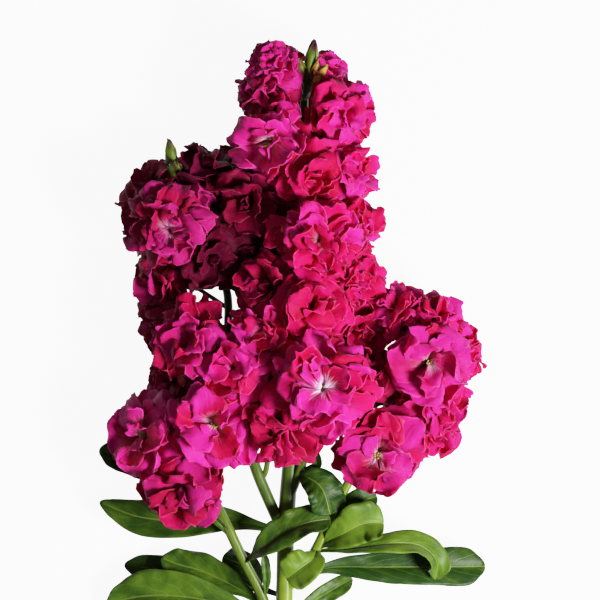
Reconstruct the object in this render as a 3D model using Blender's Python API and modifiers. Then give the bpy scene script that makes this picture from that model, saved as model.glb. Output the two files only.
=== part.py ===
"""A cut stem of double stock, lying down as it does when it is picked.

The flower head points along +Y, the cut end along -Y, and +Z is up from the surface.
The origin lies under the middle of the whole stem, on the surface.
One stem node carries every branch, pedicel, calyx and bud. Each bloom is a node with its
petals in tiers, and each large leaf is a node.
"""
import math
import random
from collections import namedtuple

import bmesh
import bpy
from mathutils import Matrix, Vector
from mathutils.bvhtree import BVHTree

MM = 0.001

# Driving dimensions, in millimetres
CENTRE_X = -0.25
CENTRE_Y = 0.85
FLOOR_GAP = 0.3
TOUCH_GAP = 0.3
CELL_GAP = 0.15
TIER_GAP = 0.9
LEAST_ROOM = 1.2
PRESSED_DEPTH = 2.5
PETAL_THICKNESS = 0.7
LEAF_THICKNESS = 0.7
CALYX_LENGTH = 6.0
CALYX_RADIUS = 2.0
CALYX_GUARD = 2.1
PEDICEL_RADIUS = 1.0
PEDICEL_ROOT_RADIUS = 1.15
PEDICEL_GUARD = 1.2
BUD_ROOT_DROP = 5.0
CUTTER_SIZE = 100.0

# Sides of the round stems
STEM_SIDES = 8
BRANCH_SIDES = 6
SLIM_SIDES = 4

# A pedicel leaves its stem this far below the bloom, as a share of the way out to the bloom,
# and bends this much of the way before it turns into the calyx
ROOT_DROP = (0.5, 0.9)
PEDICEL_BEND = 0.35

# Shares of a bloom's radius: its core, its heart above its base, and how far petals may reach
CORE_SHARE = 0.14
CORE_GUARD = 1.1
HEART_HEIGHT = 0.4
FULL_REACH = 1.1

# How petals differ: spread of length and width, ruffle of the edge, and the turn of the feet
PETALS_IN_TIER = 5
PETAL_STEP = math.tau / PETALS_IN_TIER
LENGTH_SPREAD = 0.08
WIDTH_SPREAD = 0.06
RUFFLE = 0.10
FOOT_SHARE = 0.8
FOOT_TURN = 0.75
CELL_SHARPNESS = 7
GROWING_ATTEMPTS = 24
LEAST_GROWTH = 0.6

# Routes of the stem and its branches: x, y, z and radius of each point
ROUTES = {
    "main": [
        (-8, -190, 4.4, 4.0), (-6, -152, 7.5, 4.0), (-5, -107, 13.5, 3.9), (-4, -62, 20, 3.8),
        (-3, -26, 24.5, 3.8), (-1, 1, 27.5, 3.6), (2, 37, 29.5, 3.2), (4, 73, 30, 2.8),
        (5, 118, 30, 2.3), (5, 154, 31, 2.0), (5, 177, 32, 1.6),
    ],
    "left": [
        (-5, -31, 24.5, 2.6), (-13, -13, 27, 2.6), (-18, 0, 28.5, 2.5), (-25, 23, 27.5, 2.2),
        (-29, 55, 27, 2.0), (-30, 77, 26, 1.8), (-38, 100, 26, 1.6), (-47, 118, 27, 1.4),
        (-53, 127, 28.5, 1.2),
    ],
    "low": [
        (-8, -82, 17.5, 2.4), (-14, -62, 22, 2.5), (-22, -46, 26, 2.3), (-29, -31, 29.5, 2.3),
        (-36, -17, 30, 2.0), (-44, -4, 30, 1.6), (-51, 10, 30, 1.3),
    ],
    "right": [
        (-3, -58, 21, 2.5), (4, -50, 25, 2.4), (11, -39, 28.5, 2.4), (20, -19, 30, 2.2),
        (27, -6, 31, 2.0), (37, 14, 30, 1.8), (46, 32, 29.5, 1.7), (55, 50, 29.5, 1.4),
        (60, 58, 30.5, 1.2),
    ],
    "front": [
        (-2, -17, 26, 2.2), (3, -4, 30, 2.2), (7, 10, 35.5, 2.1), (9, 26, 40.5, 1.9),
        (3, 41, 42, 1.5), (-4, 53, 42, 1.2),
    ],
}

# A bloom's heart is the middle of its rosette; its petals reach out to the radius
Bloom = namedtuple("Bloom", "name heart facing radius route form")

BLOOMS = [
    Bloom("spike_tip_left", (-7, 180, 43), (-2, 4, 8), 12, "main", "small"),
    Bloom("spike_tip_right", (16, 177, 32), (5, 6, 5), 11.5, "main", "small"),
    Bloom("spike_top_left", (-11, 166, 36), (-7, 1, 7), 15.5, "main", "full"),
    Bloom("spike_top_right", (21, 157, 43), (5, 0, 9), 18, "main", "large"),
    Bloom("spike_upper_left", (-11, 143, 48), (-4, 0, 9), 17.5, "main", "full"),
    Bloom("spike_upper_right", (23, 131, 42), (6, 1, 8), 16.5, "main", "full"),
    Bloom("spike_upper_front", (8, 129, 53), (2, -2, 9), 14.5, "main", "full"),
    Bloom("spike_left", (-18, 118, 40), (-5, -1, 9), 16.5, "main", "small"),
    Bloom("spike_front", (11, 100, 58), (1, 0, 10), 20, "main", "large"),
    Bloom("spike_right", (24, 104, 36), (8, 0, 6), 16.5, "main", "full"),
    Bloom("spike_lower_right", (26, 82, 40), (5, -1, 9), 16.5, "main", "full"),
    Bloom("spike_lower_left", (-11, 78, 46), (-4, 2, 9), 16, "main", "full"),
    Bloom("spike_lower_front", (8, 70, 58), (1, 1, 10), 16, "main", "full"),
    Bloom("spike_base_left", (-14, 57, 56), (-2, 1, 9), 16.5, "front", "small"),
    Bloom("spike_base_right", (27, 60, 38), (5, -2, 8), 16.5, "main", "small"),
    Bloom("crown", (13, 34, 69), (1, 0, 10), 22.5, "front", "large"),
    Bloom("crown_below", (-4, 14, 54), (-1, -5, 8), 18.5, "front", "large"),
    Bloom("crown_left", (-26, 42, 57), (-2, 1, 9), 16, "left", "small"),
    Bloom("crown_low_left", (-18, 26, 42), (-3, -3, 9), 16.5, "left", "small"),
    Bloom("crown_right", (33, 30, 40), (6, -2, 8), 15, "front", "small"),
    Bloom("left_front", (-54, 106, 46), (-1, -1, 10), 19.5, "left", "large"),
    Bloom("left_side", (-67, 111, 27), (-8, 1, 6), 16, "left", "full"),
    Bloom("left_top", (-63, 127, 26), (-6, 6, 6), 13, "left", "small"),
    Bloom("left_back_top", (-38, 130, 28), (2, 7, 6), 17, "left", "full"),
    Bloom("left_inner_top", (-28, 112, 28), (4, 2, 9), 17, "left", "small"),
    Bloom("left_inner", (-37, 93, 38), (2, -3, 9), 17, "left", "small"),
    Bloom("left_inner_low", (-18, 95, 30), (3, -3, 9), 15, "left", "small"),
    Bloom("left_lower", (-60, 80, 28), (-6, -1, 8), 14, "left", "small"),
    Bloom("left_low", (-59, 62, 26), (-6, -3, 7), 14, "left", "small"),
    Bloom("left_shoulder", (-45, 53, 47), (-3, 1, 9), 19, "left", "large"),
    Bloom("low_left_side", (-66, 13, 38), (-5, 0, 9), 18, "low", "large"),
    Bloom("low_left_front", (-36, 16, 52), (1, 1, 10), 18.5, "low", "large"),
    Bloom("low_left_below", (-49, -12, 40), (-2, -4, 9), 18.5, "low", "large"),
    Bloom("low_left_behind", (-54, 36, 26), (-3, 4, 8), 13.5, "low", "small"),
    Bloom("right_front", (60, 44, 50), (2, 1, 10), 19.5, "right", "large"),
    Bloom("right_top", (46, 67, 36), (-2, 7, 7), 15.5, "right", "small"),
    Bloom("right_top_outer", (64, 62, 36), (4, 5, 8), 15.5, "right", "small"),
    Bloom("right_side", (74, 48, 32), (8, 1, 6), 14.5, "right", "small"),
    Bloom("right_below", (64, 25, 40), (4, -3, 9), 16, "right", "small"),
    Bloom("right_low", (62, 12, 28), (3, -6, 7), 14, "right", "small"),
    Bloom("right_lower_front", (38, 5, 52), (0, -3, 9), 19, "right", "large"),
    Bloom("back_top", (4, 154, 9), (1, 2, -9), 15, "main", "pressed"),
    Bloom("back_upper", (3, 122, 10), (-2, 0, -9), 15, "main", "back"),
    Bloom("back_middle", (6, 88, 10), (2, -1, -9), 16, "main", "back"),
    Bloom("back_crown", (-2, 52, 10), (-1, -1, -9), 15, "main", "back"),
    Bloom("back_left", (-46, 96, 10), (-3, 1, -9), 15, "left", "back"),
    Bloom("back_left_low", (-48, 52, 10), (-3, -1, -9), 14, "left", "back"),
    Bloom("back_low_left", (-44, 10, 9), (-2, 1, -9), 14, "low", "pressed"),
    Bloom("back_right", (54, 30, 9), (2, 1, -9), 15, "right", "pressed"),
]

# A tier of petals: lean from the bloom's axis at foot and tip in degrees, length against the
# radius, and the places along the petal of its sections with their half width in degrees
Tier = namedtuple("Tier", "lean_foot lean_tip length sections")

OUTER_TIER = Tier(36, 122, 1.70, [(0.36, 27), (0.72, 34), (1.0, 21)])
OUTER_TIER_PLAIN = Tier(36, 120, 1.65, [(0.52, 32), (1.0, 28)])
OUTER_TIER_FLAT = Tier(58, 104, 1.35, [(1.0, 31)])
MIDDLE_TIER = Tier(18, 84, 1.40, [(0.5, 31), (1.0, 28)])
INNER_TIER = Tier(4, 50, 1.00, [(0.55, 31), (1.0, 26)])

# A form of bloom is its tiers of petals from the outside in
FORMS = {
    "large": [OUTER_TIER, MIDDLE_TIER, INNER_TIER],
    "full": [OUTER_TIER_PLAIN, MIDDLE_TIER, INNER_TIER],
    "small": [OUTER_TIER_FLAT, MIDDLE_TIER, INNER_TIER],
    "back": [OUTER_TIER_PLAIN, MIDDLE_TIER],
    "pressed": [OUTER_TIER_PLAIN, MIDDLE_TIER],
}
CORE_HEIGHTS = [0.0, 0.14, 0.27, 0.38]
CORE_WIDTHS = [1.0, 1.05, 0.95, 0.6]

# Leaves: places along the midrib, full width, and the way the upper side faces
Leaf = namedtuple("Leaf", "name route midrib width face fold")

LEAVES = [
    Leaf("leaf_left_top", "low", [(-38, -12, 25), (-56, -7, 18.5), (-74, 0, 17), (-88, 5, 17)],
         14, (0, 1, 4), 0.25),
    Leaf("leaf_left_upper", "main", [(-7, -32, 21), (-30, -27, 20), (-52, -27.5, 18.5),
         (-71, -24.5, 15), (-87, -21, 12)], 17, (0, 1, 5), 0.3),
    Leaf("leaf_left_long", "low", [(-14, -72, 18.5), (-28, -66, 20.5), (-49, -62, 18),
         (-69, -62, 13.5), (-85, -66, 8)], 23, (0, 1, 6), 0.25),
    Leaf("leaf_left_tip", "main", [(-8, -61, 15), (-26, -55, 7.5), (-45, -52, 5),
         (-62, -50, 3.5), (-77, -48, 3)], 13, (0, 0, 1), 0.1),
    Leaf("leaf_left_broad", "low", [(-14, -66, 20.5), (-27, -57, 16.5), (-41, -50.5, 12.5),
         (-52, -47.5, 11), (-60, -44.5, 10)], 15, (1, 2, 6), 0.3),
    Leaf("leaf_cross", "low", [(-20, -46, 30), (-14, -39.5, 35.5), (-4, -32, 38.5),
         (7, -27.5, 38.5), (17, -26, 36)], 16, (-1, 3, 5), 0.35),
    Leaf("leaf_right_upper", "right", [(12, -40, 31), (22, -33, 35.5), (32, -28, 36.5),
         (41, -28, 34)], 18, (-1, 1, 5), 0.3),
    Leaf("leaf_right_arch", "right", [(12, -43, 29.5), (26, -39.5, 33.5), (44, -37, 34.5),
         (57, -38, 30), (65, -45, 24.5), (65, -54, 20)], 13, (1, 3, 4), 0.3),
    Leaf("leaf_right_long", "right", [(2, -51, 21), (18, -48.5, 18.5), (38, -48.5, 17.5),
         (56, -48.5, 16), (72, -48.5, 12.5), (87.5, -48.5, 8.5)], 17, (0, 1, 5), 0.25),
    Leaf("leaf_front", "right", [(12, -41, 31), (9, -44, 36), (3, -48.5, 38), (-3, -53, 36)],
         17, (0, 1, 5), 0.3),
]

# Small leaves that stay one piece with the stem
STEM_LEAVES = [
    Leaf("leaf_dark", "front", [(0, -7, 30), (6, -7, 35), (13, -12, 38), (17, -24, 36.5)],
         18, (1, 1, 4), 0.3),
    Leaf("leaf_hidden", "right", [(14, -35, 31), (22, -26, 30.5), (30, -19, 30.5),
         (38, -16, 30)], 13, (0, 0, 1), 0.2),
    Leaf("leaf_left_short", "low", [(-14, -60, 16), (-20, -50, 11.5), (-32, -44, 10)],
         13, (0, 0, 1), 0.2),
    Leaf("leaf_right_low", "main", [(-2, -74, 15), (10, -64, 11), (20, -58, 9),
         (27, -54, 8.5)], 9, (0, 0, 1), 0.2),
    Leaf("leaf_bract", "low", [(-27, -36, 29), (-33, -28, 31.5), (-40, -21, 32)],
         5, (-1, -1, 3), 0.3),
    Leaf("leaf_narrow", "low", [(-13, -64, 22), (-12, -54, 27.5), (-13, -42, 29.5)],
         4, (1, 0, 3), 0.2),
]
LEAF_ROWS = 7
STEM_LEAF_ROWS = 5
PETIOLE_WIDTH = 2.0
LEAF_TIP_WIDTH = 2.4
LEAF_SWELL_PLACE = 1.4
LEAF_SWELL_POWER = 0.8
LEAF_WAVE = 0.12
LEAF_SLOPE_STEP = 0.02

# Buds at the two tips: foot and tip places and the full width
Bud = namedtuple("Bud", "route foot tip width")

BUDS = [
    Bud("main", (7, 177, 35), (8.5, 188, 38), 4.0),
    Bud("main", (5, 176, 33), (2, 183, 37), 3.5),
    Bud("main", (8, 174, 36), (12, 178, 43), 4.5),
    Bud("left", (-54, 130, 30), (-56, 144, 34), 4.5),
    Bud("left", (-53, 127, 31), (-53, 135, 40), 5.5),
]
BUD_PLACES = (0.0, 0.35, 0.75, 1.0)
BUD_WIDTHS = (0.3, 0.55, 1.0, 0.75, 0.25)

# Where a stem's route comes nearest to a spot: how far off, the place, its way and its radius
Seat = namedtuple("Seat", "gap near up radius")

PETAL_COLOUR = (0.62, 0.01, 0.16)
STEM_COLOUR = (0.20, 0.36, 0.05)
LEAF_COLOUR = (0.05, 0.17, 0.02)
PETAL_ROUGHNESS = 0.55
GREEN_ROUGHNESS = 0.5


def point(place):
    """A place in millimetres becomes a point of the part's own frame."""
    x, y, z = place
    return Vector((x - CENTRE_X, y - CENTRE_Y, z)) * MM


def clear_scene():
    for item in list(bpy.data.objects):
        bpy.data.objects.remove(item, do_unlink=True)


def make_collection(name):
    group = bpy.data.collections.new(name)
    bpy.context.scene.collection.children.link(group)
    return group


def make_material(name, colour, roughness):
    material = bpy.data.materials.new(name)
    material.use_nodes = True
    shader = material.node_tree.nodes["Principled BSDF"]
    shader.inputs["Base Color"].default_value = (*colour, 1.0)
    shader.inputs["Roughness"].default_value = roughness
    shader.inputs["Metallic"].default_value = 0.0
    return material


def add_object(name, mesh, group, material):
    mesh.materials.clear()
    mesh.materials.append(material)
    item = bpy.data.objects.new(name, mesh)
    group.objects.link(item)
    return item


def baked_mesh(item):
    """The mesh that the object's curve and modifiers give, in its own coordinates."""
    bpy.context.view_layer.update()
    seen = item.evaluated_get(bpy.context.evaluated_depsgraph_get())
    return bpy.data.meshes.new_from_object(seen)


def nearest_on_segment(a, b, spot):
    along = b - a
    share = (spot - a).dot(along) / along.length_squared
    return a + along * min(max(share, 0.0), 1.0)


def nearest_on_route(route, spot):
    """The seat on a stem's route that is nearest to a spot."""
    seats = []
    for first, second in zip(ROUTES[route], ROUTES[route][1:]):
        a, b = point(first[:3]), point(second[:3])
        near = nearest_on_segment(a, b, spot)
        share = (near - a).length / (b - a).length
        radius = (first[3] + (second[3] - first[3]) * share) * MM
        seats.append(Seat((spot - near).length, near, (b - a).normalized(), radius))
    return min(seats, key=lambda seat: seat.gap)


def smooth_point(points, share):
    """A point on the Catmull-Rom curve through the given points, from 0 to 1."""
    spans = len(points) - 1
    span = min(int(share * spans), spans - 1)
    t = share * spans - span
    p1, p2 = points[span], points[span + 1]
    p0 = points[span - 1] if span > 0 else p1 * 2 - p2
    p3 = points[span + 2] if span + 2 <= spans else p2 * 2 - p1
    return 0.5 * (
        p1 * 2 + (p2 - p0) * t
        + (p0 * 2 - p1 * 5 + p2 * 4 - p3) * t * t
        + (p1 * 3 - p0 - p2 * 3 + p3) * t * t * t
    )


def tube(name, points, radii, sides, group, material):
    """A round stem through the points, closed at both ends, as a mesh."""
    data = bpy.data.curves.new(name, "CURVE")
    data.dimensions = "3D"
    data.bevel_depth = 1.0
    data.bevel_resolution = (sides - 4) // 2
    data.use_fill_caps = True
    spline = data.splines.new("POLY")
    spline.points.add(len(points) - 1)
    for knot, place, radius in zip(spline.points, points, radii):
        knot.co = (*place, 1.0)
        knot.radius = radius
    curve = bpy.data.objects.new(name + "_curve", data)
    group.objects.link(curve)
    mesh = baked_mesh(curve)
    bpy.data.objects.remove(curve, do_unlink=True)
    shape = bmesh.new()
    shape.from_mesh(mesh)
    bmesh.ops.remove_doubles(shape, verts=shape.verts, dist=0.00001)
    bmesh.ops.recalc_face_normals(shape, faces=shape.faces)
    shape.to_mesh(mesh)
    shape.free()
    return add_object(name, mesh, group, material)


class Place:
    """Where a bloom sits: its heart, its base on the calyx and its facing direction."""

    def __init__(self, bloom):
        self.radius = bloom.radius * MM
        self.core = self.radius * CORE_SHARE
        self.heart = point(bloom.heart)
        self.axis = Vector(bloom.facing).normalized()
        self.base = self.heart - self.axis * self.radius * HEART_HEIGHT
        turn = self.axis.to_track_quat("Z", "Y").to_matrix().to_4x4()
        self.frame = Matrix.Translation(self.base) @ turn


def pedicel_route(bloom, place):
    """Points from inside the stem, up beside it and into the foot of the calyx."""
    drop = random.Random("root of " + bloom.name).uniform(*ROOT_DROP)
    beside = nearest_on_route(bloom.route, place.base)
    root = nearest_on_route(bloom.route, place.base - beside.up * beside.gap * drop).near
    top = place.base - place.axis * TOUCH_GAP * MM
    foot = top - place.axis * CALYX_LENGTH * MM
    bend = foot - place.axis * (foot - root).length * PEDICEL_BEND
    middle = (root + bend * 2 + foot) / 4
    return [root, middle, foot, top]


def obstacles_for(index, places, pedicels):
    """Round bars that a bloom's petals keep clear of: stems, pedicels and other cores."""
    bars = []
    for route in ROUTES.values():
        for first, second in zip(route, route[1:]):
            radius = max(first[3], second[3]) * MM
            bars.append((point(first[:3]), point(second[:3]), radius))
    for bud in BUDS:
        bars.append((point(bud.foot), point(bud.tip), bud.width / 2 * MM))
    for other, (place, knots) in enumerate(zip(places, pedicels)):
        bars.append((knots[0], knots[1], PEDICEL_GUARD * MM))
        bars.append((knots[1], knots[2], PEDICEL_GUARD * MM))
        if other != index:
            bars.append((knots[2], knots[3], CALYX_GUARD * MM))
            bars.append((place.base, place.heart, place.core * CORE_GUARD))
    return bars


def bloom_cell(index, places, pedicels):
    """Flat walls round a bloom's heart, each a direction and the room before the wall."""
    here = places[index]
    walls = []
    for other, place in enumerate(places):
        apart = place.heart - here.heart
        if other == index or apart.length > 2.0 * (here.radius + place.radius):
            continue
        share = apart.length_squared + here.radius ** 2 - place.radius ** 2
        walls.append((apart.normalized(), share / (2 * apart.length)))
    for a, b, radius in obstacles_for(index, places, pedicels):
        near = nearest_on_segment(a, b, here.heart)
        apart = near - here.heart
        if apart.length < 2.0 * here.radius + radius:
            walls.append((apart.normalized(), apart.length - radius - CELL_GAP * MM))
    walls.append((-here.axis, here.radius * HEART_HEIGHT))
    floor_room = here.heart.z - FLOOR_GAP * MM
    if BLOOMS[index].form == "pressed":
        floor_room = here.heart.z + PRESSED_DEPTH * MM
    walls.append((Vector((0, 0, -1)), floor_room))
    return walls


def held_inside(spot, heart, room, walls, margin):
    """Draw a petal's point in towards the heart, softly, so that it stays in its cell."""
    away = spot - heart
    reach = away.length
    way = away.normalized()
    for wall, depth in walls:
        lean = wall.dot(way)
        if lean > 0:
            room = min(room, max(depth - margin, LEAST_ROOM * MM) / lean)
    return heart + way * reach / (1 + (reach / room) ** CELL_SHARPNESS) ** (1 / CELL_SHARPNESS)


def ring_place(radius, angle, height):
    return Vector((radius * math.cos(angle), radius * math.sin(angle), height))


def side_face(low, high, index):
    """The side face of the core between two rings, and its corners in order."""
    after = (index + 1) % len(low)
    corners = [low[index], low[after], high[after], high[index]]
    face = next(f for f in low[index].link_faces if all(c in f.verts for c in corners))
    return face, corners


def draw_out(shape, face, corners, goals):
    """Extrude a face to four new corners, with the blade's two sides split alike."""
    new_face = bmesh.ops.extrude_discrete_faces(shape, faces=[face])["faces"][0]
    new_corners = []
    for corner in corners:
        new_corners.append(min(new_face.verts, key=lambda v: (v.co - corner.co).length))
    for corner, goal in zip(new_corners, goals):
        corner.co = goal
    bmesh.ops.connect_verts(shape, verts=[corners[1], new_corners[0]])
    bmesh.ops.connect_verts(shape, verts=[corners[2], new_corners[3]])
    return new_face, new_corners


def petal_points(tier, radius, foot, angle, draw, waviness):
    """Left and right points of each section of one petal, in the bloom's own frame."""
    lean_foot = math.radians(tier.lean_foot)
    lean_tip = math.radians(tier.lean_tip)
    length = radius * tier.length * (1 + LENGTH_SPREAD * draw.uniform(-1, 1) * waviness)
    pairs = []
    for share, half_width in tier.sections:
        lean = lean_foot + (lean_tip - lean_foot) * share
        bend = length * share / (lean - lean_foot)
        out = foot[0] + bend * (math.cos(lean_foot) - math.cos(lean))
        up = foot[1] + bend * (math.sin(lean) - math.sin(lean_foot))
        ruffle = length * share * share * RUFFLE * waviness
        pair = []
        for side in (1, -1):
            turn = angle + side * math.radians(half_width) * (1 - WIDTH_SPREAD * draw.random())
            pair.append(ring_place(out, turn, up + draw.uniform(-1, 1) * ruffle))
        pairs.append(pair)
    return pairs


def build_core(shape, place, tier_count, start):
    """A five-sided core in tiers, each ring turned half a petal against the one below."""
    bmesh.ops.create_cone(shape, cap_ends=True, segments=PETALS_IN_TIER,
                          radius1=place.core, radius2=place.core, depth=MM)
    lower = sorted((v for v in shape.verts if v.co.z < 0),
                   key=lambda v: math.atan2(v.co.y, v.co.x))
    upper = [min((v for v in shape.verts if v.co.z > 0),
                 key=lambda v, low=low: (v.co.xy - low.co.xy).length) for low in lower]
    rings = [lower, upper]
    for _ in range(tier_count - 1):
        cap = next(f for f in rings[-1][0].link_faces if all(v in f.verts for v in rings[-1]))
        new_cap = bmesh.ops.extrude_discrete_faces(shape, faces=[cap])["faces"][0]
        rings.append([min(new_cap.verts, key=lambda v, old=old: (v.co - old.co).length)
                      for old in rings[-1]])
    for level, ring in enumerate(rings):
        for number, corner in enumerate(ring):
            angle = start + PETAL_STEP * (number + level / 2)
            corner.co = ring_place(place.core * CORE_WIDTHS[level], angle,
                                   CORE_HEIGHTS[level] * place.radius)
    return rings


def grow_petal(shape, face, corners, foot, sections):
    """Draw a side of the core out, section by section, into one blade."""
    half = PETAL_THICKNESS / 2 * MM
    middles = [foot] + [(left + right) / 2 for left, right in sections]
    for index, (left, right) in enumerate(sections):
        onward = middles[min(index + 2, len(sections))] - middles[index]
        upward = onward.cross(left - right).normalized() * half
        goals = [right - upward, left - upward, left + upward, right + upward]
        face, corners = draw_out(shape, face, corners, goals)


def grow_bloom(bloom, place, walls, draw, waviness, growth):
    """A core with a petal from every side of every tier, all inside the bloom's cell."""
    shape = bmesh.new()
    tiers = FORMS[bloom.form]
    start = draw.uniform(0, PETAL_STEP)
    rings = build_core(shape, place, len(tiers), start)
    room = place.radius * FULL_REACH
    inverse = place.frame.inverted()
    for level, tier in enumerate(tiers):
        margin = (PETAL_THICKNESS / 2 + CELL_GAP + TIER_GAP * level) * MM
        foot = (place.core * CORE_WIDTHS[level] * FOOT_SHARE,
                (CORE_HEIGHTS[level] + CORE_HEIGHTS[level + 1]) / 2 * place.radius)
        for number in range(PETALS_IN_TIER):
            angle = start + PETAL_STEP * (number + level / 2 + FOOT_TURN)
            sections = []
            for pair in petal_points(tier, place.radius * growth, foot, angle, draw, waviness):
                held = [held_inside(place.frame @ spot, place.heart, room, walls, margin)
                        for spot in pair]
                sections.append([inverse @ spot for spot in held])
            face, corners = side_face(rings[level], rings[level + 1], number)
            grow_petal(shape, face, corners, ring_place(foot[0], angle, foot[1]), sections)
    bmesh.ops.triangulate(shape, faces=shape.faces)
    bmesh.ops.recalc_face_normals(shape, faces=shape.faces)
    return shape


def petals_cross(shape):
    """True where two faces meet that share no corner."""
    shape.faces.ensure_lookup_table()
    tree = BVHTree.FromBMesh(shape)
    for first, second in tree.overlap(tree):
        if first < second:
            ours = set(shape.faces[first].verts)
            if not ours.intersection(shape.faces[second].verts):
                return True
    return False


def build_bloom(bloom, place, walls, group, material):
    """The most ruffled bloom of its kind whose petals stay clear of each other."""
    for attempt in range(GROWING_ATTEMPTS):
        ease = attempt / GROWING_ATTEMPTS
        draw = random.Random(f"{bloom.name} {attempt}")
        growth = 1 - ease * (1 - LEAST_GROWTH)
        shape = grow_bloom(bloom, place, walls, draw, 1 - ease, growth)
        if not petals_cross(shape):
            break
        shape.free()
    else:
        raise RuntimeError("petals cross in " + bloom.name)
    mesh = bpy.data.meshes.new("bloom_" + bloom.name)
    shape.to_mesh(mesh)
    shape.free()
    item = add_object("bloom_" + bloom.name, mesh, group, material)
    item.matrix_world = place.frame
    return item


def leaf_width(share, width):
    """Narrow petiole, widest past the middle, round tip."""
    swell = math.sin(math.pi * min(share ** LEAF_SWELL_PLACE, 1.0)) ** LEAF_SWELL_POWER
    ends = PETIOLE_WIDTH + (LEAF_TIP_WIDTH - PETIOLE_WIDTH) * share
    return (ends + (width - ends) * swell) * MM


def seat_on_stem(seat, onward, face):
    """Where a petiole starts, so that its end just clears the stem that bears it."""
    way = (onward - seat.near).normalized()
    out = (way - seat.up * way.dot(seat.up)).normalized()
    across = way.cross(face).normalized()
    upward = across.cross(way).normalized()
    depth = abs(across.dot(out)) * PETIOLE_WIDTH / 2 + abs(upward.dot(out)) * LEAF_THICKNESS / 2
    return seat.near + out * (seat.radius + (TOUCH_GAP + depth) * MM)


def build_leaf(leaf, rows, rooted, group, material):
    """A folded, gently waved blade along its midrib."""
    draw = random.Random(leaf.name)
    ribs = [point(place) for place in leaf.midrib]
    face = Vector(leaf.face).normalized()
    seat = nearest_on_route(leaf.route, ribs[0])
    ribs[0] = seat.near if rooted else seat_on_stem(seat, ribs[1], face)
    shape = bmesh.new()
    bmesh.ops.create_grid(shape, x_segments=2, y_segments=rows, size=1.0)
    for corner in shape.verts:
        side = corner.co.x
        share = (corner.co.y + 1) / 2
        middle = smooth_point(ribs, share)
        ahead = smooth_point(ribs, min(share + LEAF_SLOPE_STEP, 1.0))
        along = ahead - smooth_point(ribs, max(share - LEAF_SLOPE_STEP, 0.0))
        across = along.cross(face).normalized()
        upward = across.cross(along).normalized()
        half = leaf_width(share, leaf.width) / 2
        wave = draw.uniform(-LEAF_WAVE, LEAF_WAVE) * half * abs(side)
        corner.co = middle + across * half * side + upward * (leaf.fold * half * abs(side) + wave)
    bmesh.ops.triangulate(shape, faces=shape.faces)
    mesh = bpy.data.meshes.new(leaf.name)
    shape.to_mesh(mesh)
    shape.free()
    item = add_object(leaf.name, mesh, group, material)
    wall = item.modifiers.new("blade", "SOLIDIFY")
    wall.thickness = LEAF_THICKNESS * MM
    wall.offset = 0.0
    return item


def build_bud(number, bud, group, material):
    foot, tip = point(bud.foot), point(bud.tip)
    seat = nearest_on_route(bud.route, foot - Vector((0, BUD_ROOT_DROP * MM, 0)))
    knots = [seat.near] + [foot.lerp(tip, share) for share in BUD_PLACES]
    radii = [bud.width / 2 * width * MM for width in BUD_WIDTHS]
    return tube(f"bud_{number}", knots, radii, BRANCH_SIDES, group, material)


def joined(item, pieces):
    """Union of the object with every object of the collection, as one closed body."""
    union = item.modifiers.new("join", "BOOLEAN")
    union.operation = "UNION"
    union.operand_type = "COLLECTION"
    union.collection = pieces
    union.solver = "MANIFOLD"
    mesh = baked_mesh(item)
    item.modifiers.clear()
    item.data = mesh
    for piece in list(pieces.objects):
        bpy.data.objects.remove(piece, do_unlink=True)
    bpy.data.collections.remove(pieces)
    return item


def build_stem(pedicels, group, material):
    """Main stem, branches, pedicels with calyxes, buds and small leaves, grown as one."""
    pieces = make_collection("stem_pieces")
    for name, route in ROUTES.items():
        knots = [point(row[:3]) for row in route]
        radii = [row[3] * MM for row in route]
        if name == "main":
            stem = tube("stem", knots, radii, STEM_SIDES, group, material)
        else:
            tube("branch_" + name, knots, radii, BRANCH_SIDES, pieces, material)
    for bloom, knots in zip(BLOOMS, pedicels):
        radii = [width * MM for width in (PEDICEL_ROOT_RADIUS, PEDICEL_RADIUS,
                                          PEDICEL_RADIUS, CALYX_RADIUS)]
        sides = BRANCH_SIDES if bloom.form in ("large", "full") else SLIM_SIDES
        tube("pedicel_" + bloom.name, knots, radii, sides, pieces, material)
    for number, bud in enumerate(BUDS):
        build_bud(number, bud, pieces, material)
    for leaf in STEM_LEAVES:
        build_leaf(leaf, STEM_LEAF_ROWS, True, pieces, material)
    return joined(stem, pieces)


def press_flat(item, group):
    """Cut the pressed petals level with the surface."""
    cutter_mesh = bpy.data.meshes.new("surface_cutter")
    shape = bmesh.new()
    bmesh.ops.create_cube(shape, size=CUTTER_SIZE * MM)
    shape.to_mesh(cutter_mesh)
    shape.free()
    cutter = bpy.data.objects.new("surface_cutter", cutter_mesh)
    group.objects.link(cutter)
    middle = item.matrix_world.translation
    cutter.location = (middle.x, middle.y, -CUTTER_SIZE / 2 * MM)
    cut = item.modifiers.new("pressed", "BOOLEAN")
    cut.operation = "DIFFERENCE"
    cut.object = cutter
    cut.solver = "EXACT"
    item.data = baked_mesh(item)
    item.modifiers.clear()
    bpy.data.objects.remove(cutter, do_unlink=True)


def build_stock_stem():
    clear_scene()
    group = make_collection("stock_flower_stem")
    cutters = make_collection("cutters")
    petal = make_material("petal", PETAL_COLOUR, PETAL_ROUGHNESS)
    green = make_material("stem_green", STEM_COLOUR, GREEN_ROUGHNESS)
    leaf_green = make_material("leaf_green", LEAF_COLOUR, GREEN_ROUGHNESS)
    places = [Place(bloom) for bloom in BLOOMS]
    pedicels = [pedicel_route(bloom, place) for bloom, place in zip(BLOOMS, places)]
    build_stem(pedicels, group, green)
    for leaf in LEAVES:
        build_leaf(leaf, LEAF_ROWS, False, group, leaf_green)
    for index, bloom in enumerate(BLOOMS):
        walls = bloom_cell(index, places, pedicels)
        item = build_bloom(bloom, places[index], walls, group, petal)
        if bloom.form == "pressed":
            press_flat(item, cutters)
    bpy.data.collections.remove(cutters)


build_stock_stem()
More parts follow.
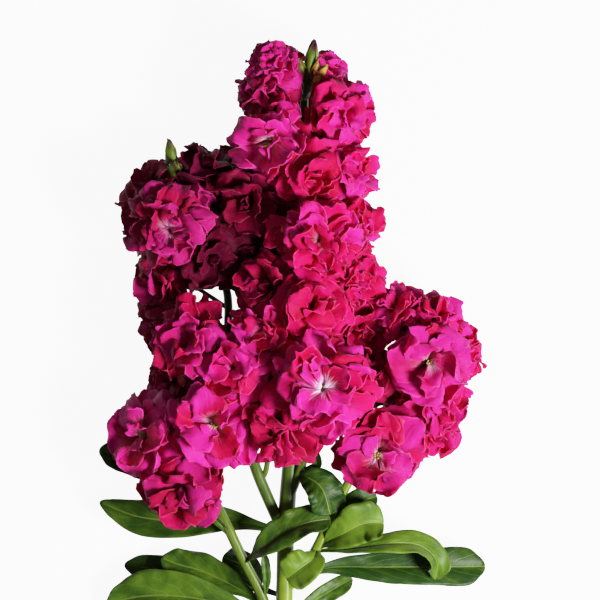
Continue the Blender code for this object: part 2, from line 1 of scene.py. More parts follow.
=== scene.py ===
# %% [markdown]
# # A cut stem of double stock
#
# Double stock is a cut flower with one thick stem, a spike of blooms and side branches with
# more blooms. Each bloom is a rosette of thirty or so ruffled petals, and the leaves are long,
# matt and a little wavy. The solids that carry all of this are already there. This lesson
# dresses them: fine petals in the place of the plain ones, real leaf blades, round ribbed stems,
# and the colours and light of the photograph.

import math
import random
from collections import namedtuple

import bmesh
import bpy
import numpy as np
from mathutils import Matrix, Vector


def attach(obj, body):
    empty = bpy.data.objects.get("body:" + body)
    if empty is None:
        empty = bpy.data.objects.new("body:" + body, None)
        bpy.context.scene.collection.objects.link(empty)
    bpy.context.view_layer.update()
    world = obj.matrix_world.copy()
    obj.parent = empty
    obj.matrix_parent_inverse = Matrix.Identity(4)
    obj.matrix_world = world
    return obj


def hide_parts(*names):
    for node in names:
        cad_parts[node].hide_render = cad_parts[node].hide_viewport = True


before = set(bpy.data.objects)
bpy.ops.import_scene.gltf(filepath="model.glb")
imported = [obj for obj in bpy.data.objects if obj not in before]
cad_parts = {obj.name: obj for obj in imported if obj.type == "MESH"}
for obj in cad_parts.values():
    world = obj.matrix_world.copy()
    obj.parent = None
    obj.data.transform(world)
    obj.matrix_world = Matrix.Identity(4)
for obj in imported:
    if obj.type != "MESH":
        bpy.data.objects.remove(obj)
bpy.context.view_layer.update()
MM = 0.001

# %% [markdown]
# ## Where things are
#
# The stem lies on a surface with its flower head along +Y, and the photographer's view looks
# straight down on it. All places below are in millimetres from a spot on that surface near the
# stem's middle. `place` moves them to the frame of the solids, whose origin is exactly under the
# middle of the whole stem.

# %% Places in millimetres
CENTRE_X = -0.25
CENTRE_Y = 0.85


def place(spot):
    x, y, z = spot[:3]
    return Vector((x - CENTRE_X, y - CENTRE_Y, z)) * MM


def add_object(name, data):
    """A new object in the scene, at the origin."""
    item = bpy.data.objects.new(name, data)
    bpy.context.scene.collection.objects.link(item)
    return item


print("origin in these millimetres", (CENTRE_X, CENTRE_Y))

# %% [markdown]
# ## Camera
#
# The photograph is square and shows 270 mm of the stem, from the lowest leaves to a little above
# the spike, so the cut end is outside it. It shows hardly any perspective, so the camera hangs
# three metres up and has a long lens.

# %% Camera straight above the flower head
VIEW_MIDDLE = (3.15, 72.9, 45.0)
VIEW_SPAN = 270.0
CAMERA_HEIGHT = 3000.0
SENSOR_WIDTH = 36.0

camera_data = bpy.data.cameras.new("camera")
camera_data.sensor_width = SENSOR_WIDTH
camera_data.lens = SENSOR_WIDTH * (CAMERA_HEIGHT - VIEW_MIDDLE[2]) / VIEW_SPAN
camera = add_object("camera", camera_data)
camera.location = place((VIEW_MIDDLE[0], VIEW_MIDDLE[1], CAMERA_HEIGHT))
bpy.context.scene.camera = camera
print("lens mm", round(camera_data.lens, 1))

# %% [markdown]
# ## Tone
#
# A camera's film or sensor doesn't cut bright colours off: it bends them towards white. That
# bend, the shoulder, is why the brightest petals in the photograph turn pink while the shaded ones
# stay crimson. A ready-made film look bends them too, but it dulls a strong magenta, so the curve
# is drawn here from a formula. It reads light up to `TONE_WHITE`.

# %% Tone curve
TONE_WHITE = 3.0
TONE_SPEED = 1.6
TONE_TOE = 1.2
TONE_KNOTS = 12
# The mapping holds a curve each for red, green and blue, and then this one for all three.
ALL_COLOURS = 3

view = bpy.context.scene.view_settings
view.view_transform = "Standard"
view.use_curve_mapping = True
view.curve_mapping.white_level = (TONE_WHITE, TONE_WHITE, TONE_WHITE)
view.curve_mapping.extend = "HORIZONTAL"
tone_curve = view.curve_mapping.curves[ALL_COLOURS]
tone_top = 1.0 - math.exp(-(TONE_WHITE * TONE_SPEED) ** TONE_TOE)
tone_curve.points[1].location = (1.0, 1.0)
for knot in range(1, TONE_KNOTS):
    bright = (knot / TONE_KNOTS) ** 2
    shown = 1.0 - math.exp(-(bright * TONE_WHITE * TONE_SPEED) ** TONE_TOE)
    tone_curve.points.new(bright, shown / tone_top)
view.curve_mapping.update()
print("tone knots", len(tone_curve.points))

# %% [markdown]
# ## Light
#
# One soft square lamp stands to the right, a little lower in the picture and towards the viewer,
# and weak white light comes from all round. More lamps would fill the shadows, and the left side
# of the flower has to stay a dark maroon, partly in the lamp's shadow and partly by painted shade
# on its petals.

# %% Lamp and surrounding light
WHITE = (1.0, 1.0, 1.0, 1.0)
LAMP_WAY = Vector((0.60, -0.32, 0.73)).normalized()
LAMP_DISTANCE = 1.3
LAMP_SIZE = 0.36
LAMP_POWER = 27.0
STUDIO_LIGHT = 0.12

lamp = bpy.data.lights.new("key", "AREA")
lamp.shape = "SQUARE"
lamp.size = LAMP_SIZE
lamp.energy = LAMP_POWER
key = add_object("key", lamp)
key.location = place(VIEW_MIDDLE) + LAMP_WAY * LAMP_DISTANCE
key.rotation_euler = LAMP_WAY.to_track_quat("Z", "Y").to_euler()

world = bpy.data.worlds.new("studio")
world.use_nodes = True
world.node_tree.nodes["Background"].inputs["Color"].default_value = WHITE
world.node_tree.nodes["Background"].inputs["Strength"].default_value = STUDIO_LIGHT
bpy.context.scene.world = world
print("lamp at", [round(value, 2) for value in key.location])

# %% [markdown]
# ## A short way to write node formulas
#
# A petal's shape is a formula, and a formula in nodes is a long chain of Math nodes. They could
# be added and linked one by one. Instead, `Field` wraps one value in a node tree, so that
# `a * b + c` adds the nodes and their links. It works in Geometry Nodes and in a material alike.


# %% Field and node helpers
def feed(tree, value, slot):
    """Link a value to a socket, or set it there when it is a plain number."""
    if isinstance(value, Field):
        tree.links.new(value.socket, slot)
    elif isinstance(value, bpy.types.NodeSocket):
        tree.links.new(value, slot)
    else:
        slot.default_value = value


def add_node(tree, kind, inputs=None, **settings):
    made = tree.nodes.new(kind)
    for name, value in settings.items():
        setattr(made, name, value)
    for name, value in (inputs or {}).items():
        feed(tree, value, made.inputs[name])
    return made


class Field:
    """A value in a node tree, with arithmetic."""

    def __init__(self, socket):
        self.socket = socket
        self.tree = socket.id_data

    def math(self, operation, *others):
        node = add_node(self.tree, "ShaderNodeMath", operation=operation)
        for slot, value in zip(node.inputs, (self, *others)):
            feed(self.tree, value, slot)
        return Field(node.outputs[0])

    def __add__(self, other):
        return self.math("ADD", other)

    def __sub__(self, other):
        return self.math("SUBTRACT", other)

    def __mul__(self, other):
        return self.math("MULTIPLY", other)

    def __truediv__(self, other):
        return self.math("DIVIDE", other)

    def __pow__(self, other):
        return self.math("POWER", other)

    def sin(self):
        return self.math("SINE")

    def cos(self):
        return self.math("COSINE")

    def size(self):
        return self.math("ABSOLUTE")

    def rest(self):
        """What the value leaves of one."""
        return self * -1.0 + 1.0

    def vector(self, operation, *others):
        node = add_node(self.tree, "ShaderNodeVectorMath", operation=operation)
        for slot, value in zip(node.inputs, (self, *others)):
            feed(self.tree, value, slot)
        return Field(node.outputs["Vector"])

    def across(self, other):
        """A unit vector square to this one and the other."""
        return self.vector("CROSS_PRODUCT", other).vector("NORMALIZE")

    def length(self):
        node = add_node(self.tree, "ShaderNodeVectorMath", operation="LENGTH")
        feed(self.tree, self, node.inputs[0])
        return Field(node.outputs["Value"])

    def times(self, factor):
        """A vector scaled by a number."""
        node = add_node(self.tree, "ShaderNodeVectorMath", {"Scale": factor}, operation="SCALE")
        feed(self.tree, self, node.inputs[0])
        return Field(node.outputs["Vector"])

    def ramp(self, low, high):
        """0 below low, 1 above high and a soft step between them."""
        node = add_node(self.tree, "ShaderNodeMapRange", {"From Min": low, "From Max": high},
                        interpolation_type="SMOOTHSTEP")
        feed(self.tree, self, node.inputs["Value"])
        return Field(node.outputs["Result"])


def combine(tree, x, y, z):
    node = add_node(tree, "ShaderNodeCombineXYZ", {"X": x, "Y": y, "Z": z})
    return Field(node.outputs["Vector"])


def noise(tree, vector, scale, detail=2.0):
    node = add_node(tree, "ShaderNodeTexNoise",
                    {"Vector": vector, "Scale": scale, "Detail": detail})
    return Field(node.outputs[0])


def swirl(tree, vector, scale):
    """A soft random vector at each place, about half a unit long at most."""
    node = add_node(tree, "ShaderNodeTexNoise", {"Vector": vector, "Scale": scale, "Detail": 1.0})
    return Field(node.outputs["Color"]).vector("SUBTRACT", (0.5, 0.5, 0.5))


def object_place(tree):
    return add_node(tree, "ShaderNodeTexCoord").outputs["Object"]


# %% [markdown]
# ## Helpers for geometry trees
#
# A geometry tree is like a function: its inputs have names, and it gives back one geometry. The
# export keeps plain meshes only, so each finished tree ends in Realize Instances and Set Material,
# and `grown` reads the mesh and drops the modifier. Petals and leaves start from the same flat
# blade, whose points carry two attributes: `side`, from -1 to 1 across it, and `along`, from 0 at
# its foot to 1 at its tip.


# %% Geometry tree helpers
def new_tree(name, inputs):
    """A geometry tree with named inputs, given as name: default, and one geometry output."""
    tree = bpy.data.node_groups.new(name, "GeometryNodeTree")
    tree.interface.new_socket(name="Geometry", in_out="OUTPUT",
                              socket_type="NodeSocketGeometry")
    kinds = {int: "NodeSocketInt", float: "NodeSocketFloat", tuple: "NodeSocketVector"}
    for label, value in inputs.items():
        kind = kinds.get(type(value), "NodeSocketObject")
        socket = tree.interface.new_socket(name=label, in_out="INPUT", socket_type=kind)
        if value is not None:
            socket.default_value = value
    entry = tree.nodes.new("NodeGroupInput")
    given = {label: Field(entry.outputs[label]) for label in inputs}
    return tree, given


def attribute(tree, name, kind="FLOAT"):
    node = add_node(tree, "GeometryNodeInputNamedAttribute", {"Name": name}, data_type=kind)
    return Field(node.outputs["Attribute"])


def store(tree, geometry, name, value, kind="FLOAT"):
    node = add_node(tree, "GeometryNodeStoreNamedAttribute",
                    {"Geometry": geometry, "Name": name, "Value": value},
                    data_type=kind, domain="POINT")
    return node.outputs["Geometry"]


def blade_grid(tree, columns, rows):
    """A flat blade whose points know how far across it and along it they are."""
    grid = add_node(tree, "GeometryNodeMeshGrid", {
        "Size X": 2.0, "Size Y": 1.0, "Vertices X": columns, "Vertices Y": rows})
    spot = add_node(tree, "GeometryNodeInputPosition").outputs["Position"]
    axes = add_node(tree, "ShaderNodeSeparateXYZ", {"Vector": spot})
    blade = store(tree, grid.outputs["Mesh"], "side", Field(axes.outputs["X"]))
    return store(tree, blade, "along", Field(axes.outputs["Y"]) + 0.5)


def outline_curve(tree, along, points):
    """A blade's half width, as a share, from points of (along, share)."""
    node = add_node(tree, "ShaderNodeFloatCurve", {"Value": along})
    curve = node.mapping.curves[0]
    curve.points[0].location = points[0]
    curve.points[1].location = points[-1]
    for spot in points[1:-1]:
        curve.points.new(*spot)
    node.mapping.update()
    return Field(node.outputs["Value"])


def moved(tree, geometry, **where):
    """The geometry with its points set to a Position or shifted by an Offset."""
    node = add_node(tree, "GeometryNodeSetPosition", {"Geometry": geometry, **where})
    return node.outputs["Geometry"]


def smooth_route(tree, guide):
    """The line of a curve object, rounded through its knots."""
    route = add_node(tree, "GeometryNodeObjectInfo", {"Object": guide})
    smooth = add_node(tree, "GeometryNodeCurveSplineType", {"Curve": route.outputs["Geometry"]},
                      spline_type="CATMULL_ROM")
    return smooth.outputs["Curve"]


def close_tree(tree, geometry, material=None):
    """Realize the instances, set the material and end the tree."""
    real = add_node(tree, "GeometryNodeRealizeInstances", {"Geometry": geometry})
    last = real.outputs["Geometry"]
    if material is not None:
        painted = add_node(tree, "GeometryNodeSetMaterial",
                           {"Geometry": last, "Material": material})
        last = painted.outputs["Geometry"]
    leave = tree.nodes.new("NodeGroupOutput")
    tree.links.new(last, leave.inputs["Geometry"])


def baked(item):
    """The object's mesh as its modifiers leave it, as plain data."""
    bpy.context.view_layer.update()
    seen = item.evaluated_get(bpy.context.evaluated_depsgraph_get())
    return bpy.data.meshes.new_from_object(seen)


def grown(name, tree, values):
    """The plain mesh that a tree gives with these input values."""
    item = add_object(name, bpy.data.meshes.new(name + "_seed"))
    modifier = item.modifiers.new(name, "NODES")
    modifier.node_group = tree
    for label, value in values.items():
        modifier[tree.interface.items_tree[label].identifier] = value
    mesh = baked(item)
    bpy.data.objects.remove(item, do_unlink=True)
    finish = [material for material in mesh.materials if material]
    mesh.materials.clear()
    mesh.materials.append(finish[0])
    mesh.polygons.foreach_set("material_index", np.zeros(len(mesh.polygons), np.int32))
    return mesh


# %% [markdown]
# ## The petal's finish
#
# A stock petal is velvety: magenta where the light falls on it and lilac in patches, with faint
# veins that fan out from its foot. Crimson is painted at the foot, as painted shade for the folds
# where the feet lie, and the edge is painted paler, partly the petal's own margin and partly a
# painted highlight on lit edges. In some blooms the feet of the inner petals are white between
# their veins and make an eye. An image would need a flat map of every petal. These petals carry
# attributes instead, so the pattern follows each of them wherever it bends: beside `side` and
# `along` there is a `tone` for each petal, `cool` moves a whole bloom towards lilac or crimson,
# and one more attribute darkens a whole bloom towards maroon, as painted shade for blooms that lie
# in shadow or are recessed.


# %% Material helpers
def shader_material(name, roughness, specular=0.3):
    material = bpy.data.materials.new(name)
    material.use_nodes = True
    shader = material.node_tree.nodes["Principled BSDF"]
    shader.inputs["Roughness"].default_value = roughness
    shader.inputs["Specular IOR Level"].default_value = specular
    return material, material.node_tree, shader


def painted_attribute(tree, name):
    return Field(add_node(tree, "ShaderNodeAttribute", attribute_name=name).outputs["Fac"])


def colour_sockets(node):
    """A Mix node has one set of sockets for each kind of value: these are the colours'."""
    return node.inputs[6], node.inputs[7], node.outputs[2]


def mixed(tree, first, second, share):
    node = add_node(tree, "ShaderNodeMix", data_type="RGBA")
    low, high, result = colour_sockets(node)
    feed(tree, share, node.inputs[0])
    feed(tree, first, low)
    feed(tree, second, high)
    return Field(result)


def paint(tree, shader, colour, relief, strength, height):
    """Give the shader its colour and a fine relief of this height in metres."""
    feed(tree, colour, shader.inputs["Base Color"])
    bump = add_node(tree, "ShaderNodeBump",
                    {"Height": relief, "Strength": strength, "Distance": height})
    tree.links.new(bump.outputs["Normal"], shader.inputs["Normal"])


# %% Petal material
# The deep crimson also serves as painted shade at the petals' feet, the edge colour partly as a
# painted highlight, and the maroon as painted shade.
PETAL_BRIGHT = (0.93, 0.014, 0.185, 1.0)
PETAL_LILAC = (0.92, 0.040, 0.390, 1.0)
PETAL_DEEP_AND_FOLD_SHADE = (0.48, 0.003, 0.045, 1.0)
PETAL_EDGE_AND_RIM_HIGHLIGHT = (0.96, 0.20, 0.40, 1.0)
PETAL_EYE = (0.93, 0.62, 0.86, 1.0)
PETAL_SHADE_MAROON = (0.115, 0.003, 0.026, 1.0)
VELVET = {"Sheen Weight": 0.05, "Sheen Roughness": 0.4, "Sheen Tint": (1.0, 0.40, 0.80, 1.0),
          "Subsurface Weight": 0.35, "Subsurface Radius": (1.0, 0.05, 0.15),
          "Subsurface Scale": 0.002}
PATCH_WAVES = 80.0
LILAC_WAVES = 42.0
CRINKLE_WAVES = 420.0
VEIN_FAN = (7.0, 1.6, 40.0)
EDGE_AND_RIM_HIGHLIGHT_STRENGTH = 0.26


def make_petal_material():
    material, tree, shader = shader_material("petal_velvet", 0.55, specular=0.10)
    for label, value in VELVET.items():
        shader.inputs[label].default_value = value
    side, along, tone, eye, cool, deep = (
        painted_attribute(tree, name) for name in ("side", "along", "tone", "eye", "cool", "deep"))
    where = object_place(tree)
    patches = noise(tree, where, PATCH_WAVES)
    fan = combine(tree, side * VEIN_FAN[0], along * VEIN_FAN[1], tone * VEIN_FAN[2])
    veins = noise(tree, fan, 1.6, 4.0)
    crinkle = noise(tree, where, CRINKLE_WAVES, 3.0)
    # Through along the petal's foot turns crimson: painted shade for the folds where the feet lie.
    # Patches, tone, veins and crinkle are the petal's own colour variation.
    depth = patches * 0.55 + tone * 0.30 + veins * 0.40 + crinkle * 0.20 + along * 0.55
    colour = mixed(tree, PETAL_DEEP_AND_FOLD_SHADE, PETAL_BRIGHT, depth.ramp(0.74, 1.62))
    lilac = (noise(tree, where, LILAC_WAVES) + tone * 0.35 + eye * 0.25 + cool).ramp(0.60, 0.90)
    colour = mixed(tree, colour, PETAL_LILAC, lilac * depth.ramp(0.66, 1.2) * 0.7)
    # Painted shade: blooms that lie in shadow or are recessed are darkened towards maroon, and
    # their pale edges fade.
    colour = mixed(tree, colour, PETAL_SHADE_MAROON, deep)
    # The paler edge is partly the petal's own margin and partly a painted highlight on lit edges;
    # it fades where painted shade lies.
    edge_and_rim_highlight = (side.size().ramp(0.92, 1.0) + along.ramp(0.955, 1.0)) * EDGE_AND_RIM_HIGHLIGHT_STRENGTH
    colour = mixed(tree, colour, PETAL_EDGE_AND_RIM_HIGHLIGHT, edge_and_rim_highlight * (deep * 0.9).rest())
    pale = eye * (veins * 0.9 - along + 0.55).ramp(0.45, 0.85)
    colour = mixed(tree, colour, PETAL_EYE, pale)
    paint(tree, shader, colour, veins + crinkle * 0.7, 0.5, 0.0008)
    return material


petal_velvet = make_petal_material()
print("material", petal_velvet.name)

# %% [markdown]
# ## One layer of petals
#
# A rosette is layer on layer of petals. They could be shaped by hand, but there are well over a
# thousand of them and no two are alike, so a formula does it. One layer is a ring of the same
# blade: the blade is set on each point of a line, one point for a petal, and made real. Each point
# then moves by the formula. The midline leans from the bloom's axis more and more towards the tip,
# the blade is narrow at its foot and round at its end, and every petal strays from its layer by
# its own fold, twist and ruffles, drawn from its number and the seed.

# %% Petal layer tree
PETAL_OUTLINE = [(0.0, 0.12), (0.15, 0.20), (0.36, 0.58), (0.58, 0.91), (0.77, 1.0),
                 (0.91, 0.92), (1.0, 0.70)]
END_ROUNDING = 0.17
STRAYS = {
    "lean foot": (-0.26, 0.26), "lean tip": (-0.65, 0.45), "length": (0.80, 1.20),
    "width": (0.86, 1.14), "cup": (-0.35, 0.35), "fold": (-0.4, 1.0), "twist": (-1.0, 1.0),
    "turn": (-0.36, 0.36), "tone": (0.0, 1.0), "reach": (0.0, 1.0),
}


def petal_layer_tree():
    tree, given = new_tree("petal_layer", {
        "Petals": 6, "Across": 11, "Rows": 13, "Radius": 0.02, "Length": 1.2,
        "Half Width": 0.5, "Foot Out": 0.1, "Foot Up": 0.1, "Lean Foot": 0.7, "Lean Tip": 2.0,
        "Cup": 0.3, "Fold": 0.3, "Twist": 0.5, "Ruffle": 0.1, "Ragged": 0.0, "Wander": 1.0,
        "Depth": 0.0, "Turn": 0.0, "Seed": 0})
    line = add_node(tree, "GeometryNodeMeshLine", {"Count": given["Petals"]})
    index = tree.nodes.new("GeometryNodeInputIndex").outputs["Index"]
    numbered = store(tree, line.outputs["Mesh"], "petal", index, "INT")
    blade = blade_grid(tree, given["Across"], given["Rows"])
    ring = add_node(tree, "GeometryNodeInstanceOnPoints", {"Points": numbered, "Instance": blade})
    ring = add_node(tree, "GeometryNodeRealizeInstances", {"Geometry": ring.outputs[0]})
    side, along = attribute(tree, "side"), attribute(tree, "along")
    petal = attribute(tree, "petal", "INT")

    def stray(trait):
        """A random number for each petal, the same one wherever the trait is used."""
        salt = list(STRAYS).index(trait) + 1.0
        node = add_node(tree, "FunctionNodeRandomValue", data_type="FLOAT")
        node.inputs[2].default_value, node.inputs[3].default_value = STRAYS[trait]
        feed(tree, petal, node.inputs["ID"])
        feed(tree, given["Seed"] * 31.0 + salt, node.inputs["Seed"])
        return Field(node.outputs[1])

    radius = given["Radius"]
    depth = petal * 7.31 + given["Seed"] * 3.17
    ragged = noise(tree, combine(tree, side * 2.2, depth + 90.0, 0.0), 1.0, 0.0) - 0.5
    share = along * (side * side * -END_ROUNDING + ragged * along ** 3.0 * given["Ragged"] + 1.0)
    lean_foot = given["Lean Foot"] + given["Wander"] * stray("lean foot")
    lean_span = given["Lean Tip"] + given["Wander"] * stray("lean tip") - lean_foot
    lean = lean_foot + lean_span * share
    length = radius * given["Length"] * stray("length")
    out = radius * given["Foot Out"] + length * (lean_foot.cos() - lean.cos()) / lean_span
    up = radius * given["Foot Up"] + length * (lean.sin() - lean_foot.sin()) / lean_span
    outline = outline_curve(tree, along, PETAL_OUTLINE)
    half = radius * given["Half Width"] * outline * stray("width")
    across = side * half
    slow = noise(tree, combine(tree, side * 0.9, share * 1.3, depth), 1.0, 0.0) - 0.5
    quick = noise(tree, combine(tree, side * 2.0, share * 2.0, depth + 50.0), 1.0, 0.0) - 0.5
    margin = side.size() ** 3.0 * along + along ** 5.0
    bulge = (across * across / radius * (given["Cup"] + stray("cup"))
             + across.size() * given["Fold"] * stray("fold")
             + radius * slow * along * 0.75
             + radius * quick * margin * given["Ruffle"] * 3.0)
    twist = given["Twist"] * stray("twist") * along
    sideways = across * twist.cos() - bulge * twist.sin()
    lifted = across * twist.sin() + bulge * twist.cos()
    radial = out - lifted * lean.cos()
    height = up + lifted * lean.sin()
    angle = (petal + given["Turn"] + stray("turn")) * math.tau / given["Petals"]
    spot = combine(tree, radial * angle.cos() - sideways * angle.sin(),
                   radial * angle.sin() + sideways * angle.cos(), height)
    petals = moved(tree, ring.outputs["Geometry"], Position=spot)
    petals = store(tree, petals, "tone", stray("tone"))
    petals = store(tree, petals, "reach", stray("reach"))
    petals = store(tree, petals, "depth", given["Depth"])
    close_tree(tree, petals)
    return tree


def petal_ring(tree, values):
    """One ring of petals inside another tree, with these input values."""
    return add_node(tree, "GeometryNodeGroup", values, node_tree=petal_layer).outputs["Geometry"]


petal_layer = petal_layer_tree()
print("tree", petal_layer.name, "nodes", len(petal_layer.nodes))

# %% [markdown]
# ## The rosette
#
# A double stock bloom is a dome of petals round one short stalk: six layers of narrow petals in
# the fullest ones, five of wider petals in most others, and four in those on the underside. The
# lowest petals bend back towards the calyx, the ones above lie flatter, and the smallest stand
# round the heart. All of them start at the stalk, each layer a little higher. Leans are in degrees
# from the bloom's axis, and the rest is in shares of the bloom's radius. `Opening` lays the inner
# layers flat and lets them grow, which shows the eye.
#
# Real petals are pushed against each other in the bud, and stay crumpled. A cloth simulation
# could crumple them, but noise is steadier: two noise fields move the points, less so round the
# heart, a subdivision rounds the folds off, and a finer noise ruffles the margins.

# %% Rosette tree
Layer = namedtuple("Layer", "petals grid foot_up lean length half cup fold opens grows")

DENSE = [
    Layer(8, (6, 6), 0.04, (64, 146), 1.34, 0.36, -0.25, 0.10, 0.0, 0.0),
    Layer(8, (6, 6), 0.16, (56, 130), 1.28, 0.36, -0.20, 0.20, 0.1, 0.0),
    Layer(8, (6, 7), 0.30, (46, 118), 1.12, 0.34, -0.10, 0.30, 0.2, 0.0),
    Layer(7, (6, 7), 0.44, (36, 100), 0.96, 0.33, 0.00, 0.40, 0.4, 0.0),
    Layer(6, (6, 6), 0.56, (24, 78), 0.74, 0.29, 0.20, 0.45, 0.7, 0.05),
    Layer(4, (6, 6), 0.66, (6, 46), 0.46, 0.24, 0.50, 0.50, 1.3, 0.20),
]
LOOSE = [
    Layer(6, (7, 7), 0.04, (64, 142), 1.36, 0.52, -0.20, 0.10, 0.0, 0.0),
    Layer(6, (7, 8), 0.20, (52, 118), 1.30, 0.54, -0.10, 0.20, 0.1, 0.0),
    Layer(5, (7, 8), 0.38, (38, 100), 1.10, 0.52, 0.00, 0.30, 0.3, 0.0),
    Layer(4, (7, 7), 0.52, (22, 72), 0.82, 0.40, 0.15, 0.40, 0.9, 0.20),
    Layer(3, (5, 6), 0.60, (8, 40), 0.46, 0.20, 0.60, 0.60, 1.0, 0.10),
]
PLAIN_GRID = (6, 6)
OPENING_LEAN = 38.0
FOOT_OUT = 0.05
CALM_HEART = (0.25, 0.95)
HEART_CRUMPLE = 0.25
CRUMPLES = [(1.7, 0.62), (3.0, 0.36)]
MARGIN_RUFFLE = (6.0, 0.20)


def rosette_tree(name, layers):
    tree, given = new_tree(name, {"Radius": 0.02, "Opening": 0.0, "Seed": 0})
    gather = add_node(tree, "GeometryNodeJoinGeometry")
    opening = given["Opening"]
    for depth, layer in reversed(list(enumerate(layers))):
        lean_more = opening * math.radians(OPENING_LEAN * layer.opens)
        growth = opening * layer.grows + 1.0
        ring = petal_ring(tree, {
            "Petals": layer.petals, "Across": layer.grid[0], "Rows": layer.grid[1],
            "Radius": given["Radius"], "Length": growth * layer.length,
            "Half Width": growth * layer.half, "Foot Out": FOOT_OUT, "Foot Up": layer.foot_up,
            "Lean Foot": lean_more * 0.9 + math.radians(layer.lean[0]),
            "Lean Tip": lean_more + math.radians(layer.lean[1]),
            "Cup": layer.cup, "Fold": layer.fold, "Twist": 0.7, "Ruffle": 0.12, "Ragged": 0.06,
            "Depth": float(depth), "Turn": depth * 0.5, "Seed": given["Seed"] + depth * 7.0,
        })
        tree.links.new(ring, gather.inputs["Geometry"])
    crumpled = gather.outputs["Geometry"]
    spot = Field(tree.nodes.new("GeometryNodeInputPosition").outputs["Position"])
    local = spot.times(given["Radius"] ** -1.0)
    shifted = local.vector("ADD", combine(tree, given["Seed"] * 5.3, 0.0, 0.0))
    calm = local.length().ramp(*CALM_HEART) * (1.0 - HEART_CRUMPLE) + HEART_CRUMPLE
    for waves, share in CRUMPLES:
        step = swirl(tree, shifted, waves).times(given["Radius"] * calm * share)
        crumpled = moved(tree, crumpled, Offset=step)
    softened = add_node(tree, "GeometryNodeSubdivisionSurface", {"Mesh": crumpled, "Level": 1},
                        boundary_smooth="ALL")
    side, along = attribute(tree, "side"), attribute(tree, "along")
    margin = side * side * along + along ** 4.0
    waves, share = MARGIN_RUFFLE
    step = swirl(tree, shifted, waves).times(given["Radius"] * margin * share)
    ruffled = moved(tree, softened.outputs["Mesh"], Offset=step)
    close_tree(tree, ruffled, petal_velvet)
    return tree


dense_rosette = rosette_tree("dense_rosette", DENSE)
loose_rosette = rosette_tree("loose_rosette", LOOSE)
plain_rosette = rosette_tree("plain_rosette",
                             [layer._replace(grid=PLAIN_GRID) for layer in LOOSE[:4]])
print("petals in the fullest bloom", sum(layer.petals for layer in DENSE))

# %% [markdown]
# ## The blooms and their cells
#
# Each bloom grows from its heart and faces its own way, at the place of its solid. Where blooms
# crowd each other their petals push together and stop. Colliding cloth would do that, slowly, and
# a cell does it at once: between two hearts there is a flat wall, nearer to the smaller bloom, and
# no petal passes it by more than a little. Each row has the heart in millimetres, the facing, the
# radius and how open the bloom is, and, where they aren't zero, how pale its eye is and how much
# painted shade darkens it towards maroon, where it lies in shadow or is recessed.

# %% Bloom table
# The last field is painted shade: it darkens a bloom towards maroon where it lies in shadow or is
# recessed.
Bloom = namedtuple("Bloom", "name heart facing radius opening eye deep", defaults=[0.0, 0.0])

